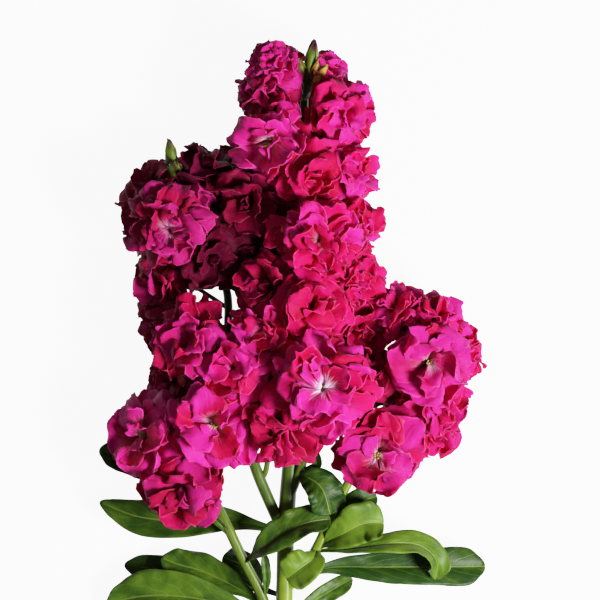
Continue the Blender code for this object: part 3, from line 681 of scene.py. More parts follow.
BLOOMS = [
    Bloom("spike_tip_left", (-9, 178.5, 43), (-2, 4, 8), 12.5, 0.2, 0.0, 0.2),
    Bloom("spike_tip_right", (15, 175.5, 32), (5, 6, 5), 11.5, 0.2),
    Bloom("spike_top_left", (-12, 165.5, 36), (-7, 1, 7), 15.5, 0.3, 0.0, 0.4),
    Bloom("spike_top_right", (21, 157, 43), (5, 0, 9), 18, 0.4),
    Bloom("spike_upper_left", (-9.5, 142.5, 48), (-4, 0, 9), 17.5, 0.9, 0.8),
    Bloom("spike_upper_right", (23, 131, 42), (6, 1, 8), 16.5, 0.3),
    Bloom("spike_upper_front", (8, 129, 53), (2, -2, 9), 14.5, 0.2),
    Bloom("spike_left", (-18, 118, 40), (-5, -1, 9), 16.5, 0.2, 0.0, 0.8),
    Bloom("spike_front", (11, 100, 58), (1, 0, 10), 20, 0.6, 0.2),
    Bloom("spike_right", (26, 106, 36), (8, 0, 6), 17.5, 0.2),
    Bloom("spike_lower_right", (26, 82, 40), (5, -1, 9), 16.5, 0.2),
    Bloom("spike_lower_left", (-11, 78, 46), (-4, 2, 9), 16, 0.3, 0.0, 0.45),
    Bloom("spike_lower_front", (8, 70, 58), (1, 1, 10), 16, 0.5),
    Bloom("spike_base_left", (-14, 57, 56), (-2, 1, 9), 16.5, 0.4, 0.1),
    Bloom("spike_base_right", (27, 60, 38), (5, -2, 8), 16.5, 0.1, 0.0, 0.4),
    Bloom("crown", (13, 34, 69), (1, 0, 10), 22.5, 1.0, 1.0),
    Bloom("crown_below", (-4, 14, 54), (-1, -5, 8), 18.5, 0.0, 0.0, 0.2),
    Bloom("crown_left", (-26, 42, 57), (-2, 1, 9), 16, 0.5, 0.1),
    Bloom("crown_low_left", (-18, 26, 42), (-3, -3, 9), 16.5, 0.2, 0.0, 0.3),
    Bloom("crown_right", (34, 36, 40), (6, 1, 8), 15, 0.2, 0.0, 0.5),
    Bloom("left_front", (-54, 106, 46), (-1, -1, 10), 19.5, 0.7, 0.3, 0.45),
    Bloom("left_side", (-67, 111, 27), (-8, 1, 6), 16, 0.3, 0.0, 0.5),
    Bloom("left_top", (-61, 125, 26), (-6, 6, 6), 13, 0.2, 0.0, 0.6),
    Bloom("left_back_top", (-38, 130, 28), (2, 7, 6), 17, 0.2, 0.0, 0.95),
    Bloom("left_inner_top", (-28, 112, 28), (4, 2, 9), 17, 0.2, 0.0, 1.0),
    Bloom("left_inner", (-37, 93, 38), (2, -3, 9), 17, 0.2, 0.0, 1.0),
    Bloom("left_inner_low", (-18, 95, 30), (3, -3, 9), 15, 0.2, 0.0, 1.0),
    Bloom("left_lower", (-60, 80, 28), (-6, -1, 8), 14, 0.3, 0.0, 0.5),
    Bloom("left_low", (-57.5, 63, 26), (-6, -3, 7), 14, 0.3, 0.0, 0.5),
    Bloom("left_shoulder", (-45, 53, 47), (-3, 1, 9), 19, 0.4, 0.0, 0.2),
    Bloom("low_left_side", (-65.5, 11.5, 38), (-5, 0, 9), 18, 0.9, 0.9),
    Bloom("low_left_front", (-36, 16, 52), (1, 1, 10), 18.5, 1.0, 0.9),
    Bloom("low_left_below", (-49, -12, 40), (-2, -4, 9), 18.5, 0.4, 0.2, 0.4),
    Bloom("low_left_behind", (-54, 36, 26), (-3, 4, 8), 13.5, 0.2, 0.0, 0.45),
    Bloom("right_front", (60, 44, 50), (2, 1, 10), 19.5, 0.8, 0.8, 0.15),
    Bloom("right_top", (46, 67, 36), (-2, 7, 7), 15.5, 0.2, 0.0, 0.1),
    Bloom("right_top_outer", (64, 63, 36), (4, 5, 8), 15.5, 0.4),
    Bloom("right_side", (74, 48, 32), (8, 1, 6), 14.5, 0.2),
    Bloom("right_below", (64, 25, 40), (4, -3, 9), 16, 0.3, 0.0, 0.15),
    Bloom("right_low", (62.5, 14, 28), (3, -6, 7), 14, 0.2, 0.0, 0.15),
    Bloom("right_lower_front", (38, 5, 52), (0, -3, 9), 19, 0.9, 0.9, 0.2),
    Bloom("back_top", (4, 154, 9), (1, 2, -9), 15, 0.2),
    Bloom("back_upper", (3, 122, 10), (-2, 0, -9), 15, 0.2),
    Bloom("back_middle", (6, 88, 10), (2, -1, -9), 16, 0.2),
    Bloom("back_crown", (-2, 52, 10), (-1, -1, -9), 15, 0.2, 0.0, 0.5),
    Bloom("back_left", (-46, 96, 10), (-3, 1, -9), 15, 0.2, 0.0, 0.5),
    Bloom("back_left_low", (-48, 52, 10), (-3, -1, -9), 14, 0.2, 0.0, 0.4),
    Bloom("back_low_left", (-44, 10, 9), (-2, 1, -9), 14, 0.2, 0.0, 0.4),
    Bloom("back_right", (54, 30, 9), (2, 1, -9), 15, 0.2),
]
FULLEST = {
    "crown", "crown_below", "spike_front", "spike_top_right", "spike_top_left", "spike_tip_left",
    "spike_upper_right", "spike_right", "spike_base_left", "spike_lower_right", "left_front",
    "right_top_outer", "right_top", "right_side", "right_below", "left_shoulder",
}
LILAC_BLOOMS = {
    "spike_tip_left", "spike_tip_right", "spike_upper_left", "spike_upper_right", "left_front",
    "low_left_front", "low_left_side", "right_front", "right_top_outer",
}
CRIMSON_BLOOMS = {
    "spike_upper_front", "spike_left", "spike_lower_left", "spike_lower_front", "crown_below",
    "spike_base_right", "crown_low_left", "crown_right", "spike_lower_right", "spike_front",
}
BESIDE_STEM = {"spike_tip_left", "spike_tip_right", "spike_top_left", "spike_top_right"}
TIP_STEM_X = 5.2
STEM_CLEARING = 5.5
HEART_HEIGHT = 0.4
print("blooms", len(BLOOMS))

# %% Cells: where a bloom's petals stop
NEIGHBOUR_REACH = 2.0
FULL_REACH = 1.01
PETAL_REACH = 0.24
CROWD_REACH = 0.45
CROWD_FROM = 0.45
CROWD_SPAN = 0.35
NEAR_WALL = 1.25
LAYER_GAP = 0.50
CELL_SLACK = 8.5
CELL_SHARPNESS = 5.0
LEAST_ROOM = 1.5
SURFACE_GAP = 0.2


def bloom_frame(bloom):
    """The bloom's base on its calyx and its turn, as one matrix."""
    axis = Vector(bloom.facing).normalized()
    base = place(bloom.heart) - axis * bloom.radius * HEART_HEIGHT * MM
    return Matrix.Translation(base) @ axis.to_track_quat("Z", "Y").to_matrix().to_4x4()


def bloom_walls(bloom):
    """Directions to the neighbours and the room before each wall, in metres.

    Near the tip the stem shows between the blooms, so those have one more wall beside it.
    """
    ways, rooms = [], []
    heart = place(bloom.heart)
    for other in BLOOMS:
        apart = place(other.heart) - heart
        reach = (bloom.radius + other.radius) * MM
        if other is bloom or apart.length > NEIGHBOUR_REACH * reach:
            continue
        share = apart.length_squared + (bloom.radius ** 2 - other.radius ** 2) * MM * MM
        ways.append(apart.normalized())
        rooms.append(share / (2.0 * apart.length))
    near = len(ways)
    if bloom.name in BESIDE_STEM:
        side = math.copysign(1.0, TIP_STEM_X - bloom.heart[0])
        ways.append(Vector((side, 0.0, 0.0)))
        rooms.append((abs(TIP_STEM_X - bloom.heart[0]) - STEM_CLEARING) * MM)
    ways.append(-Vector(bloom.facing).normalized())
    rooms.append(bloom.radius * HEART_HEIGHT * MM)
    return np.array(ways), np.array(rooms), near


def hold_in_cell(spots, depth, reach, bloom):
    """Draw the points in towards the heart, softly, so that they stay in the bloom's cell."""
    heart = np.array(place(bloom.heart))
    ways, rooms, near = bloom_walls(bloom)
    away = spots - heart
    length = np.linalg.norm(away, axis=1) + 1e-9
    way = away / length[:, None]
    lean = np.maximum(way @ ways.T, 1e-3)
    slack = (reach * CELL_SLACK - depth * LAYER_GAP) * MM
    room = np.maximum(rooms[None, :] + slack[:, None], LEAST_ROOM * MM) / lean
    touching = rooms[:near] < bloom.radius * NEAR_WALL * MM
    towards = lean[:, :near][:, touching].max(axis=1, initial=0.0)
    crowding = np.clip((towards - CROWD_FROM) / CROWD_SPAN, 0.0, 1.0)
    spread = FULL_REACH + PETAL_REACH * reach + CROWD_REACH * crowding
    limit = np.minimum(room.min(axis=1), bloom.radius * spread * MM)
    shrink = (1.0 + (length / limit) ** CELL_SHARPNESS) ** (-1.0 / CELL_SHARPNESS)
    held = heart + away * shrink[:, None]
    held[:, 2] = np.maximum(held[:, 2], SURFACE_GAP * MM)
    return held


print("walls in all", sum(len(bloom_walls(bloom)[1]) for bloom in BLOOMS))


# %% [markdown]
# ## Petals in their places
#
# A rosette grows at the origin, is turned and moved to its bloom, and is then held in its cell.
# The petals are still sheets, and a sheet has no back, so Solidify gives each a thin wall. What
# `settle` does with each finished piece is the same for all: it rides with the stem and may stand
# for one of the solids.


# %% Reading, writing and finishing a piece
def read_points(mesh):
    spots = np.empty(len(mesh.vertices) * 3, np.float32)
    mesh.vertices.foreach_get("co", spots)
    return spots.reshape(-1, 3).astype(float)


def read_attribute(mesh, name):
    values = np.empty(len(mesh.vertices), np.float32)
    mesh.attributes[name].data.foreach_get("value", values)
    return values.astype(float)


def write_points(mesh, spots):
    mesh.vertices.foreach_set("co", spots.astype(np.float32).ravel())
    mesh.update()


def write_attribute(mesh, name, values):
    layer = mesh.attributes.new(name, "FLOAT", "POINT")
    layer.data.foreach_set("value", np.asarray(values, np.float32))


def thickened(name, mesh, thickness):
    """The sheet with a wall of this thickness, as a plain mesh on a new object."""
    item = add_object(name, mesh)
    wall = item.modifiers.new("wall", "SOLIDIFY")
    wall.thickness = thickness * MM
    wall.offset = 0.0
    solid = baked(item)
    item.modifiers.clear()
    item.data = solid
    solid.shade_smooth()
    return item


def settle(item, slot, *nodes):
    """A finished piece rides with the stem and stands for its solids. Its slot is not used."""
    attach(item, "root")
    if nodes:
        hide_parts(*nodes)
    return item


# %% Grow every bloom
PETAL_THICKNESS = 0.3
COOLER = 0.16
EYE_FROM = 2.5
EYE_SPAN = 2.0


def rosette_of(bloom):
    if bloom.name in FULLEST:
        return dense_rosette
    return plain_rosette if bloom.name.startswith("back_") else loose_rosette


def grow_bloom(number, bloom):
    """Add the petals of one bloom, and count their triangles."""
    mesh = grown(bloom.name, rosette_of(bloom), {
        "Radius": bloom.radius * MM, "Opening": bloom.opening, "Seed": number * 11})
    turn = np.array(bloom_frame(bloom))
    spots = read_points(mesh) @ turn[:3, :3].T + turn[:3, 3]
    depth = read_attribute(mesh, "depth")
    reach = read_attribute(mesh, "reach")
    write_points(mesh, hold_in_cell(spots, depth, reach, bloom))
    inner = np.clip((depth - EYE_FROM) / EYE_SPAN, 0.0, 1.0)
    write_attribute(mesh, "eye", inner * bloom.eye)
    # Painted shade for the whole bloom.
    write_attribute(mesh, "deep", np.full(len(depth), bloom.deep))
    cool = COOLER * (bloom.name in LILAC_BLOOMS) - COOLER * (bloom.name in CRIMSON_BLOOMS)
    write_attribute(mesh, "cool", np.full(len(depth), cool))
    petals = thickened("petals_" + bloom.name, mesh, PETAL_THICKNESS)
    settle(petals, "petal", "bloom_" + bloom.name)
    return sum(len(face.vertices) - 2 for face in petals.data.polygons)


petal_triangles = sum(grow_bloom(number, bloom) for number, bloom in enumerate(BLOOMS))
print("triangles in the petals", petal_triangles)

# %% [markdown]
# ## Stems along their routes
#
# The stem branches, and every bloom has its own thin pedicel. Each route is a list of points in
# millimetres with the radius there. A curve's own bevel would make a plain round tube of it. The
# tree below smooths the curve, samples it finely, sweeps a circle along it with the curve's
# radius, and raises low ribs along it, as the skin of a real stem has. Closed tips come from the
# sweep's caps.

# %% Routes of the stem and its branches
ROUTES = {
    "main": [
        (-8, -190, 4.4, 4.0), (-6, -152, 7.5, 4.0), (-5, -107, 13.5, 3.9), (-4, -62, 20, 3.8),
        (-3, -26, 24.5, 3.8), (-1, 1, 27.5, 3.6), (2, 37, 29.5, 3.2), (4, 73, 30, 2.8),
        (5, 118, 30, 2.3), (5, 154, 31, 2.0), (5, 177, 32, 1.6),
    ],
    "left": [
        (-5, -31, 24.5, 2.6), (-13, -13, 27, 2.6), (-18, 0, 28.5, 2.5), (-25, 23, 27.5, 2.2),
        (-29, 55, 27, 2.0), (-30, 77, 26, 1.8), (-38, 100, 26, 1.6), (-47, 118, 27, 1.4),
        (-53, 127, 28.5, 1.2),
    ],
    "low": [
        (-8, -82, 17.5, 2.4), (-14, -62, 22, 2.5), (-22, -46, 26, 2.3), (-29, -31, 29.5, 2.3),
        (-36, -17, 30, 2.0), (-44, -4, 30, 1.6), (-51, 10, 30, 1.3),
    ],
    "right": [
        (-3, -58, 21, 2.5), (4, -50, 25, 2.4), (11, -39, 28.5, 2.4), (20, -19, 30, 2.2),
        (27, -6, 31, 2.0), (37, 14, 30, 1.8), (46, 32, 29.5, 1.7), (55, 50, 29.5, 1.4),
        (60, 58, 30.5, 1.2),
    ],
    "front": [
        (-2, -17, 26, 2.2), (3, -4, 30, 2.2), (7, 10, 35.5, 2.1), (9, 26, 40.5, 1.9),
        (3, 41, 42, 1.5), (-4, 53, 42, 1.2),
    ],
    "spur": [
        (-15, -9, 27.5, 1.3), (-12.5, -5, 28.5, 1.2), (-11, 3, 31, 1.1), (-8, 10, 36, 1.0),
    ],
}


def nearest_on_route(route, spot):
    """The nearest point of a route to a spot, and the stem's direction there."""
    found = []
    for first, second in zip(ROUTES[route], ROUTES[route][1:]):
        a, b = place(first), place(second)
        along = b - a
        share = min(max((spot - a).dot(along) / along.length_squared, 0.0), 1.0)
        near = a + along * share
        found.append(((spot - near).length, near, along.normalized()))
    return min(found, key=lambda row: row[0])


print("routes", len(ROUTES))

# %% [markdown]
# ## The stem's skin
#
# The skin is waxy, with fine streaks along it. The main stem is a light yellow-green low down and
# painted darker between the blooms, and each branch has a tone of its own, darker for those that
# run among the blooms: both are painted shade. One material does for all of them, because the tone
# with its painted shade is an attribute written to the points of the finished mesh.

# %% Stem finish
STEM_LIGHT = (0.20, 0.275, 0.024, 1.0)
STEM_DARK = (0.045, 0.085, 0.008, 1.0)
# The main stem's darker upper part and the darker branches among the blooms are painted shade; the
# light lower main stem is the skin's own colour.
STEM_TONES_AND_SHADE = {"main": 1.0, "left": 0.15, "low": 0.35, "right": 0.75, "front": 0.2, "spur": 0.2}
MAIN_SHADE_FADE = (-50.0, -15.0)
MAIN_UPPER_SHADE = 0.3
STREAK_STRETCH = (1.0, 0.12, 1.0)
STREAK_WAVES = 900.0


def make_stem_material():
    material, tree, shader = shader_material("stem_skin", 0.42, specular=0.35)
    where = object_place(tree)
    stretch = add_node(tree, "ShaderNodeMapping", {"Vector": where, "Scale": STREAK_STRETCH})
    streaks = noise(tree, stretch.outputs["Vector"], STREAK_WAVES, 3.0)
    patches = noise(tree, where, 45.0)
    # The tint carries painted shade as well as the skin's tone.
    share = streaks * 0.35 + patches * 0.35 + painted_attribute(tree, "tint") * 0.7
    colour = mixed(tree, STEM_DARK, STEM_LIGHT, share.ramp(0.25, 1.05))
    paint(tree, shader, colour, streaks, 0.3, 0.0003)
    return material


def stem_tint_and_shade(spot):
    """How light the stem is at a place, with painted shade: the main stem is yellow only low down
    and painted darker among the blooms.
    """
    route = min(ROUTES, key=lambda name: nearest_on_route(name, spot)[0])
    if route != "main":
        return STEM_TONES_AND_SHADE[route]
    low, high = (place((0.0, y, 0.0)).y for y in MAIN_SHADE_FADE)
    share = min(max((spot.y - low) / (high - low), 0.0), 1.0)
    return STEM_TONES_AND_SHADE[route] + (MAIN_UPPER_SHADE - STEM_TONES_AND_SHADE[route]) * share


stem_skin = make_stem_material()
print("material", stem_skin.name)


# %% Stalk tree
def stalk_tree(name, finish):
    tree, given = new_tree(name, {"Route": None, "Sides": 16, "Step": 0.002,
                                  "Rib Height": 0.00012, "Ribs": 6.0})
    fine = add_node(tree, "GeometryNodeResampleCurve", {
        "Curve": smooth_route(tree, given["Route"]), "Length": given["Step"]}, mode="LENGTH")
    circle = add_node(tree, "GeometryNodeCurvePrimitiveCircle", {
        "Resolution": given["Sides"], "Radius": 1.0})
    turn = tree.nodes.new("GeometryNodeSplineParameter").outputs["Factor"]
    profile = store(tree, circle.outputs["Curve"], "round", turn)
    radius = tree.nodes.new("GeometryNodeInputRadius").outputs["Radius"]
    sweep = add_node(tree, "GeometryNodeCurveToMesh", {
        "Curve": fine.outputs["Curve"], "Profile Curve": profile, "Scale": radius,
        "Fill Caps": True})
    normal = Field(tree.nodes.new("GeometryNodeInputNormal").outputs["Normal"])
    wave = (attribute(tree, "round") * given["Ribs"] * math.tau).sin()
    ribs = normal.times(wave * given["Rib Height"])
    close_tree(tree, moved(tree, sweep.outputs["Mesh"], Offset=ribs), finish)
    return tree


stalk = stalk_tree("stalk", stem_skin)
print("tree", stalk.name, "nodes", len(stalk.nodes))


# %% Stems and branches
MERGE_DISTANCE = 0.00001


def route_curve(name, routes):
    """One curve object with a spline for each route of (place, radius in metres) points."""
    data = bpy.data.curves.new(name, "CURVE")
    data.dimensions = "3D"
    for route in routes:
        spline = data.splines.new("POLY")
        spline.points.add(len(route) - 1)
        for knot, (spot, radius) in zip(spline.points, route):
            knot.co = (*spot, 1.0)
            knot.radius = radius
    return add_object(name, data)


def merged(mesh):
    """Join the doubles that caps and tips leave, and shade the mesh smooth."""
    shape = bmesh.new()
    shape.from_mesh(mesh)
    bmesh.ops.remove_doubles(shape, verts=shape.verts, dist=MERGE_DISTANCE)
    bmesh.ops.recalc_face_normals(shape, faces=shape.faces)
    shape.to_mesh(mesh)
    shape.free()
    mesh.shade_smooth()
    return mesh


def stalks(name, tree, routes, values, *nodes):
    """One piece with a round stalk along each route."""
    guide = route_curve(name + "_route", routes)
    mesh = merged(grown(name, tree, {"Route": guide, **values}))
    bpy.data.objects.remove(guide, do_unlink=True)
    return settle(add_object(name, mesh), "stem", *nodes)


stem_routes = [[(place(row), row[3] * MM) for row in route] for route in ROUTES.values()]
stems = stalks("stems", stalk, stem_routes,
               {"Sides": 18, "Step": 0.002, "Rib Height": 0.00014, "Ribs": 5.0}, "stem")
write_attribute(stems.data, "tint", [stem_tint_and_shade(vertex.co) for vertex in stems.data.vertices])
print("stems", len(stems.data.polygons), "faces")

# %% [markdown]
# ## Pedicels and calyxes
#
# Each bloom stands on a thin pedicel that leaves its branch a little below it and bends into the
# calyx, which widens like a trumpet. It is one more route for the stalk tree: the nearest point on
# the branch is found, the root lies a little below that, and the radii widen the route's end into
# the calyx and narrow it again inside the bloom.

# %% Pedicels
ROUTE_OF = {"spike": "main", "crown": "front", "left": "left", "low": "low", "right": "right"}
ROUTE_EXCEPTIONS = {
    "spike_base_left": "front", "crown_left": "left", "crown_low_left": "left",
    "back_top": "main", "back_upper": "main", "back_middle": "main", "back_crown": "main",
    "back_left": "left", "back_left_low": "left", "back_low_left": "low", "back_right": "right",
}
ROOT_DROP = (0.5, 0.9)
PEDICEL_BEND = 0.35
PEDICEL_RADIUS = 0.9
PEDICEL_WIDTHS = [1.2, 1.0, 1.05, 1.9, 2.1, 1.5, 0.8]
CALYX_LENGTH = 6.0
CALYX_WAIST = 0.55
CORE_HEIGHTS = (0.28, 0.52)


def pedicel_route(bloom):
    """From the branch through the calyx to the middle of the bloom."""
    route = ROUTE_EXCEPTIONS.get(bloom.name) or ROUTE_OF[bloom.name.split("_")[0]]
    turn = bloom_frame(bloom)
    base, axis = turn.translation, turn.to_3x3().col[2]
    drop = random.Random("root of " + bloom.name).uniform(*ROOT_DROP)
    gap, near, way = nearest_on_route(route, base)
    root = nearest_on_route(route, base - way * gap * drop)[1]
    foot = base - axis * CALYX_LENGTH * MM
    bend = foot - axis * (foot - root).length * PEDICEL_BEND
    middle = (root + bend * 2 + foot) / 4
    waist = base - axis * CALYX_LENGTH * CALYX_WAIST * MM
    core = [base + axis * bloom.radius * share * MM for share in CORE_HEIGHTS]
    knots = [root, middle, foot, waist, base, *core]
    return [(knot, width * PEDICEL_RADIUS * MM) for knot, width in zip(knots, PEDICEL_WIDTHS)]


pedicels = stalks("pedicels", stalk, [pedicel_route(bloom) for bloom in BLOOMS],
                  {"Sides": 8, "Step": 0.002, "Rib Height": 0.00006, "Ribs": 4.0})
print("pedicels", len(pedicels.data.polygons), "faces")

# %% [markdown]
# ## Pistil and stamens
#
# In the pale eye of an open bloom a pistil shows, with a few stamens round it, each a thread with
# a small dull yellow knob. The stalk tree makes them too, with a finish of their own, because a
# knob is only a place where the route is thicker.

# %% Pistil and stamens of the open blooms
ANTHER_YELLOW = (0.62, 0.47, 0.10, 1.0)
ANTHER_GREEN = (0.32, 0.34, 0.07, 1.0)
OPEN_EYE = 0.5
STAMENS = 5
STAMEN_TURN = (-0.3, 0.3)
STAMEN_SPREAD = (0.9, 1.4)
STAMEN_FOOT = 0.48
STAMEN_TIP = (0.66, 0.74)


def make_anther_material():
    material, tree, shader = shader_material("anther", 0.6)
    grains = noise(tree, object_place(tree), 1500.0)
    colour = mixed(tree, ANTHER_GREEN, ANTHER_YELLOW, grains.ramp(0.35, 0.6))
    paint(tree, shader, colour, grains, 0.4, 0.0002)
    return material


def stamen_routes(bloom):
    """A pistil with stamens round it, each a thread that ends in a small knob."""
    turn = bloom_frame(bloom)
    height = bloom.radius * MM
    draw = random.Random("stamens of " + bloom.name)
    routes = []
    for number in range(STAMENS + 1):
        angle = number * math.tau / STAMENS + draw.uniform(*STAMEN_TURN)
        spread = 0.0 if number == STAMENS else draw.uniform(*STAMEN_SPREAD) * MM
        tip = draw.uniform(*STAMEN_TIP) * height
        side = Vector((math.cos(angle), math.sin(angle), 0.0)) * spread
        knots = [(0.4, STAMEN_FOOT * height, 0.25), (0.8, tip - 1.0 * MM, 0.25),
                 (1.0, tip - 0.5 * MM, 0.45), (1.0, tip + 0.4 * MM, 0.36)]
        routes.append([(turn @ (side * share + Vector((0.0, 0.0, up))), radius * MM)
                       for share, up, radius in knots])
    return routes


stamen = stalk_tree("stamen", make_anther_material())
threads = [route for bloom in BLOOMS if bloom.eye > OPEN_EYE for route in stamen_routes(bloom)]
stamens = stalks("stamens", stamen, threads,
                 {"Sides": 8, "Step": 0.0003, "Rib Height": 0.0, "Ribs": 1.0})
print("stamens", len(threads), "threads", len(stamens.data.polygons), "faces")

# %% [markdown]
# ## Sepals
#
# The calyx ends in four narrow sepals that hug the lowest petals. They are a ring of blades, so
# the petal layer makes them too, narrow and upright, and all the rings are joined in one piece.

# %% Sepals
SEPAL_THICKNESS = 0.3


def joined(name, meshes, thickness, slot, *nodes):
    """Sheets brought together in one piece with a wall."""
    shape = bmesh.new()
    for mesh in meshes:
        shape.from_mesh(mesh)
    whole = bpy.data.meshes.new(name)
    shape.to_mesh(whole)
    shape.free()
    whole.materials.append(meshes[0].materials[0])
    return settle(thickened(name, whole, thickness), slot, *nodes)


def sepal_tree():
    tree, given = new_tree("sepals", {"Radius": 0.02, "Seed": 0})
    ring = petal_ring(tree, {
        "Petals": 4, "Across": 5, "Rows": 7, "Radius": given["Radius"], "Length": 0.42,
        "Half Width": 0.13, "Foot Out": 0.09, "Foot Up": -0.12, "Lean Foot": math.radians(14),
        "Lean Tip": math.radians(62), "Cup": 1.2, "Fold": 0.2, "Twist": 0.2, "Ruffle": 0.02,
        "Wander": 0.5, "Seed": given["Seed"]})
    close_tree(tree, ring, stem_skin)
    return tree


sepal_ring = sepal_tree()
sepal_meshes = []
for number, bloom in enumerate(BLOOMS):
    mesh = grown("sepals_" + bloom.name, sepal_ring,
                 {"Radius": bloom.radius * MM, "Seed": number * 5})
    mesh.transform(bloom_frame(bloom))
    sepal_meshes.append(mesh)
sepals = joined("sepals", sepal_meshes, SEPAL_THICKNESS, "stem")
print("sepals", len(sepals.data.polygons), "faces")

# %% [markdown]
# ## Buds
#
# The spike and the left branch end in buds, green with purple blotches, and the oldest ones at
# the tip have turned tan. A bud could be a plain pointed egg, but its seams show in the
# photograph, so it is a ring of four sepals that lean out from the foot and back in to close at
# the tip. Each stands on a short stalk. Each row has the branch, the foot and the tip, the width,
# and how ripe the bud is.

# %% Bud table
Bud = namedtuple("Bud", "route foot tip width ripe")

BUDS = [
    Bud("main", (7, 175, 41), (9, 188.5, 43), 4.0, 0.0),
    Bud("main", (5, 174, 40), (2.5, 181, 43), 3.0, 0.2),
    Bud("main", (9, 173, 41), (11, 180.5, 45), 2.6, 0.8),
    Bud("main", (10, 172, 42), (15, 178, 46), 3.0, 1.0),
    Bud("main", (9, 171, 42), (13, 174, 47), 2.6, 1.0),
    Bud("left", (-54, 130, 30), (-56, 144, 34), 4.5, 0.0),
    Bud("left", (-53, 127, 31), (-53, 135, 40), 5.5, 0.0),
]
print("buds", len(BUDS))

# %% Bud finish
BUD_GREEN = (0.12, 0.19, 0.020, 1.0)
BUD_PURPLE = (0.10, 0.030, 0.030, 1.0)
BUD_TAN = (0.46, 0.26, 0.055, 1.0)


def make_bud_material():
    material, tree, shader = shader_material("bud_skin", 0.5)
    where = object_place(tree)
    blotches = noise(tree, where, 260.0, 3.0)
    share = (blotches + painted_attribute(tree, "along") * 0.30).ramp(0.62, 0.92)
    colour = mixed(tree, BUD_GREEN, BUD_PURPLE, share)
    colour = mixed(tree, colour, BUD_TAN, painted_attribute(tree, "depth"))
    paint(tree, shader, colour, noise(tree, where, 1800.0), 0.4, 0.0003)
    return material


bud_skin = make_bud_material()
print("material", bud_skin.name)

# %% Buds and their stalks
BUD_CURVING = 1.05
BUD_STALK_DROP = 9.0
BUD_STALK_RADIUS = 1.3
BUD_SEAT = 2.0


def bud_tree():
    tree, given = new_tree("bud", {"Width": 0.005, "Length": 0.012, "Ripe": 0.0, "Seed": 0})
    ring = petal_ring(tree, {
        "Petals": 4, "Across": 8, "Rows": 14, "Radius": given["Width"],
        "Length": given["Length"] / given["Width"] * BUD_CURVING, "Half Width": 0.52,
        "Foot Out": 0.16, "Foot Up": 0.0, "Lean Foot": math.radians(34),
        "Lean Tip": math.radians(-42), "Cup": 0.9, "Fold": 0.1, "Twist": 0.1, "Ruffle": 0.02,
        "Wander": 0.2, "Depth": given["Ripe"], "Seed": given["Seed"]})
    close_tree(tree, ring, bud_skin)
    return tree


closed_bud = bud_tree()
bud_meshes = []
for number, bud in enumerate(BUDS):
    foot, tip = place(bud.foot), place(bud.tip)
    mesh = grown(f"bud_{number}", closed_bud, {
        "Width": bud.width * MM, "Length": (tip - foot).length, "Ripe": bud.ripe,
        "Seed": number * 3})
    turn = (tip - foot).to_track_quat("Z", "Y").to_matrix().to_4x4()
    mesh.transform(Matrix.Translation(foot) @ turn)
    bud_meshes.append(mesh)
buds = joined("buds", bud_meshes, SEPAL_THICKNESS, "stem")
print("buds", len(buds.data.polygons), "faces")


def bud_stalk_route(bud):
    foot = place(bud.foot)
    way = (place(bud.tip) - foot).normalized()
    root = nearest_on_route(bud.route, foot - Vector((0.0, BUD_STALK_DROP * MM, 0.0)))[1]
    bend = (root + foot - way * BUD_STALK_DROP * MM) / 2
    seat = foot + way * (BUD_SEAT * MM)
    return [(knot, BUD_STALK_RADIUS * MM) for knot in (root, bend, foot, seat)]


bud_stalks = stalks("bud_stalks", stalk, [bud_stalk_route(bud) for bud in BUDS],
                    {"Sides": 8, "Step": 0.0015, "Rib Height": 0.0, "Ribs": 4.0})
print("bud stalks", len(bud_stalks.data.polygons), "faces")

# %% [markdown]
# ## Leaves
#
# A stock leaf is a long blade, widest past its middle, with a pale midrib in a shallow groove, a
# few side veins that arch towards the tip, and a soft wave along its edge. Each leaf follows the
# midrib of its solid. Each row has the route that bears the leaf, the midrib, the width, the way
# that the blade faces and how far its halves fold up. The last two columns are its tone, from dark
# to pale, and how much its end is narrowed.

# %% Leaf table
Leaf = namedtuple("Leaf", "name route midrib width face fold tone taper", defaults=[0.0])

LEAVES = [
    Leaf("leaf_left_top", "low", [(-38, -12, 25), (-56, -7, 18.5), (-74, 0, 17), (-88, 5, 17)],
         14, (0, 1, 4), 0.25, 0.1),
    Leaf("leaf_left_upper", "main", [(-7, -32, 21), (-30, -27, 20), (-52, -27.5, 18.5),
         (-71, -25.5, 15), (-88, -19, 12)], 17.5, (0, 1, 5), 0.3, 0.25, 0.38),
    Leaf("leaf_left_long", "low", [(-14, -72, 18.5), (-28, -66, 20.5), (-49, -62, 18),
         (-69, -62, 13.5), (-85, -66, 8)], 23, (0, 1, 6), 0.25, 0.5, 0.35),
    Leaf("leaf_left_tip", "main", [(-8, -61, 15), (-26, -55, 7.5), (-45, -52, 5),
         (-62, -50, 3.5), (-77, -48, 3)], 13, (0, 0, 1), 0.1, 0.15),
    Leaf("leaf_left_broad", "low", [(-14, -66, 20.5), (-27, -57, 16.5), (-41, -50.5, 12.5),
         (-52, -47.5, 11), (-60, -44.5, 10)], 15, (1, 2, 6), 0.3, 0.4),
    Leaf("leaf_cross", "low", [(-20, -46, 30), (-14, -39.5, 35.5), (-4, -32, 38.5),
         (7, -27.5, 38.5), (17, -26, 36)], 16, (-1, 3, 5), 0.35, 0.35),
    Leaf("leaf_right_upper", "right", [(12, -40, 31), (22, -33, 35.5), (32, -28, 36.5),
         (41, -28, 34)], 18, (-1, 1, 5), 0.3, 0.8),
    Leaf("leaf_right_arch", "right", [(12, -43, 29.5), (26, -39.5, 33.5), (44, -37, 34.5),
         (57, -38, 30), (65, -45, 24.5), (65, -54, 20)], 13, (1, 3, 4), 0.3, 0.7),
    Leaf("leaf_right_long", "right", [(2, -51, 21), (18, -48.5, 18.5), (38, -48.5, 17.5),
         (56, -48.5, 16), (72, -48.5, 12.5), (87.5, -48.5, 8.5)], 17, (0, 1, 5), 0.25, 0.0,
         -0.22),
    Leaf("leaf_front", "right", [(12, -41, 31), (9, -44, 36), (3, -48.5, 38), (-3, -53, 36)],
         17, (0, 1, 5), 0.3, 1.5),
]
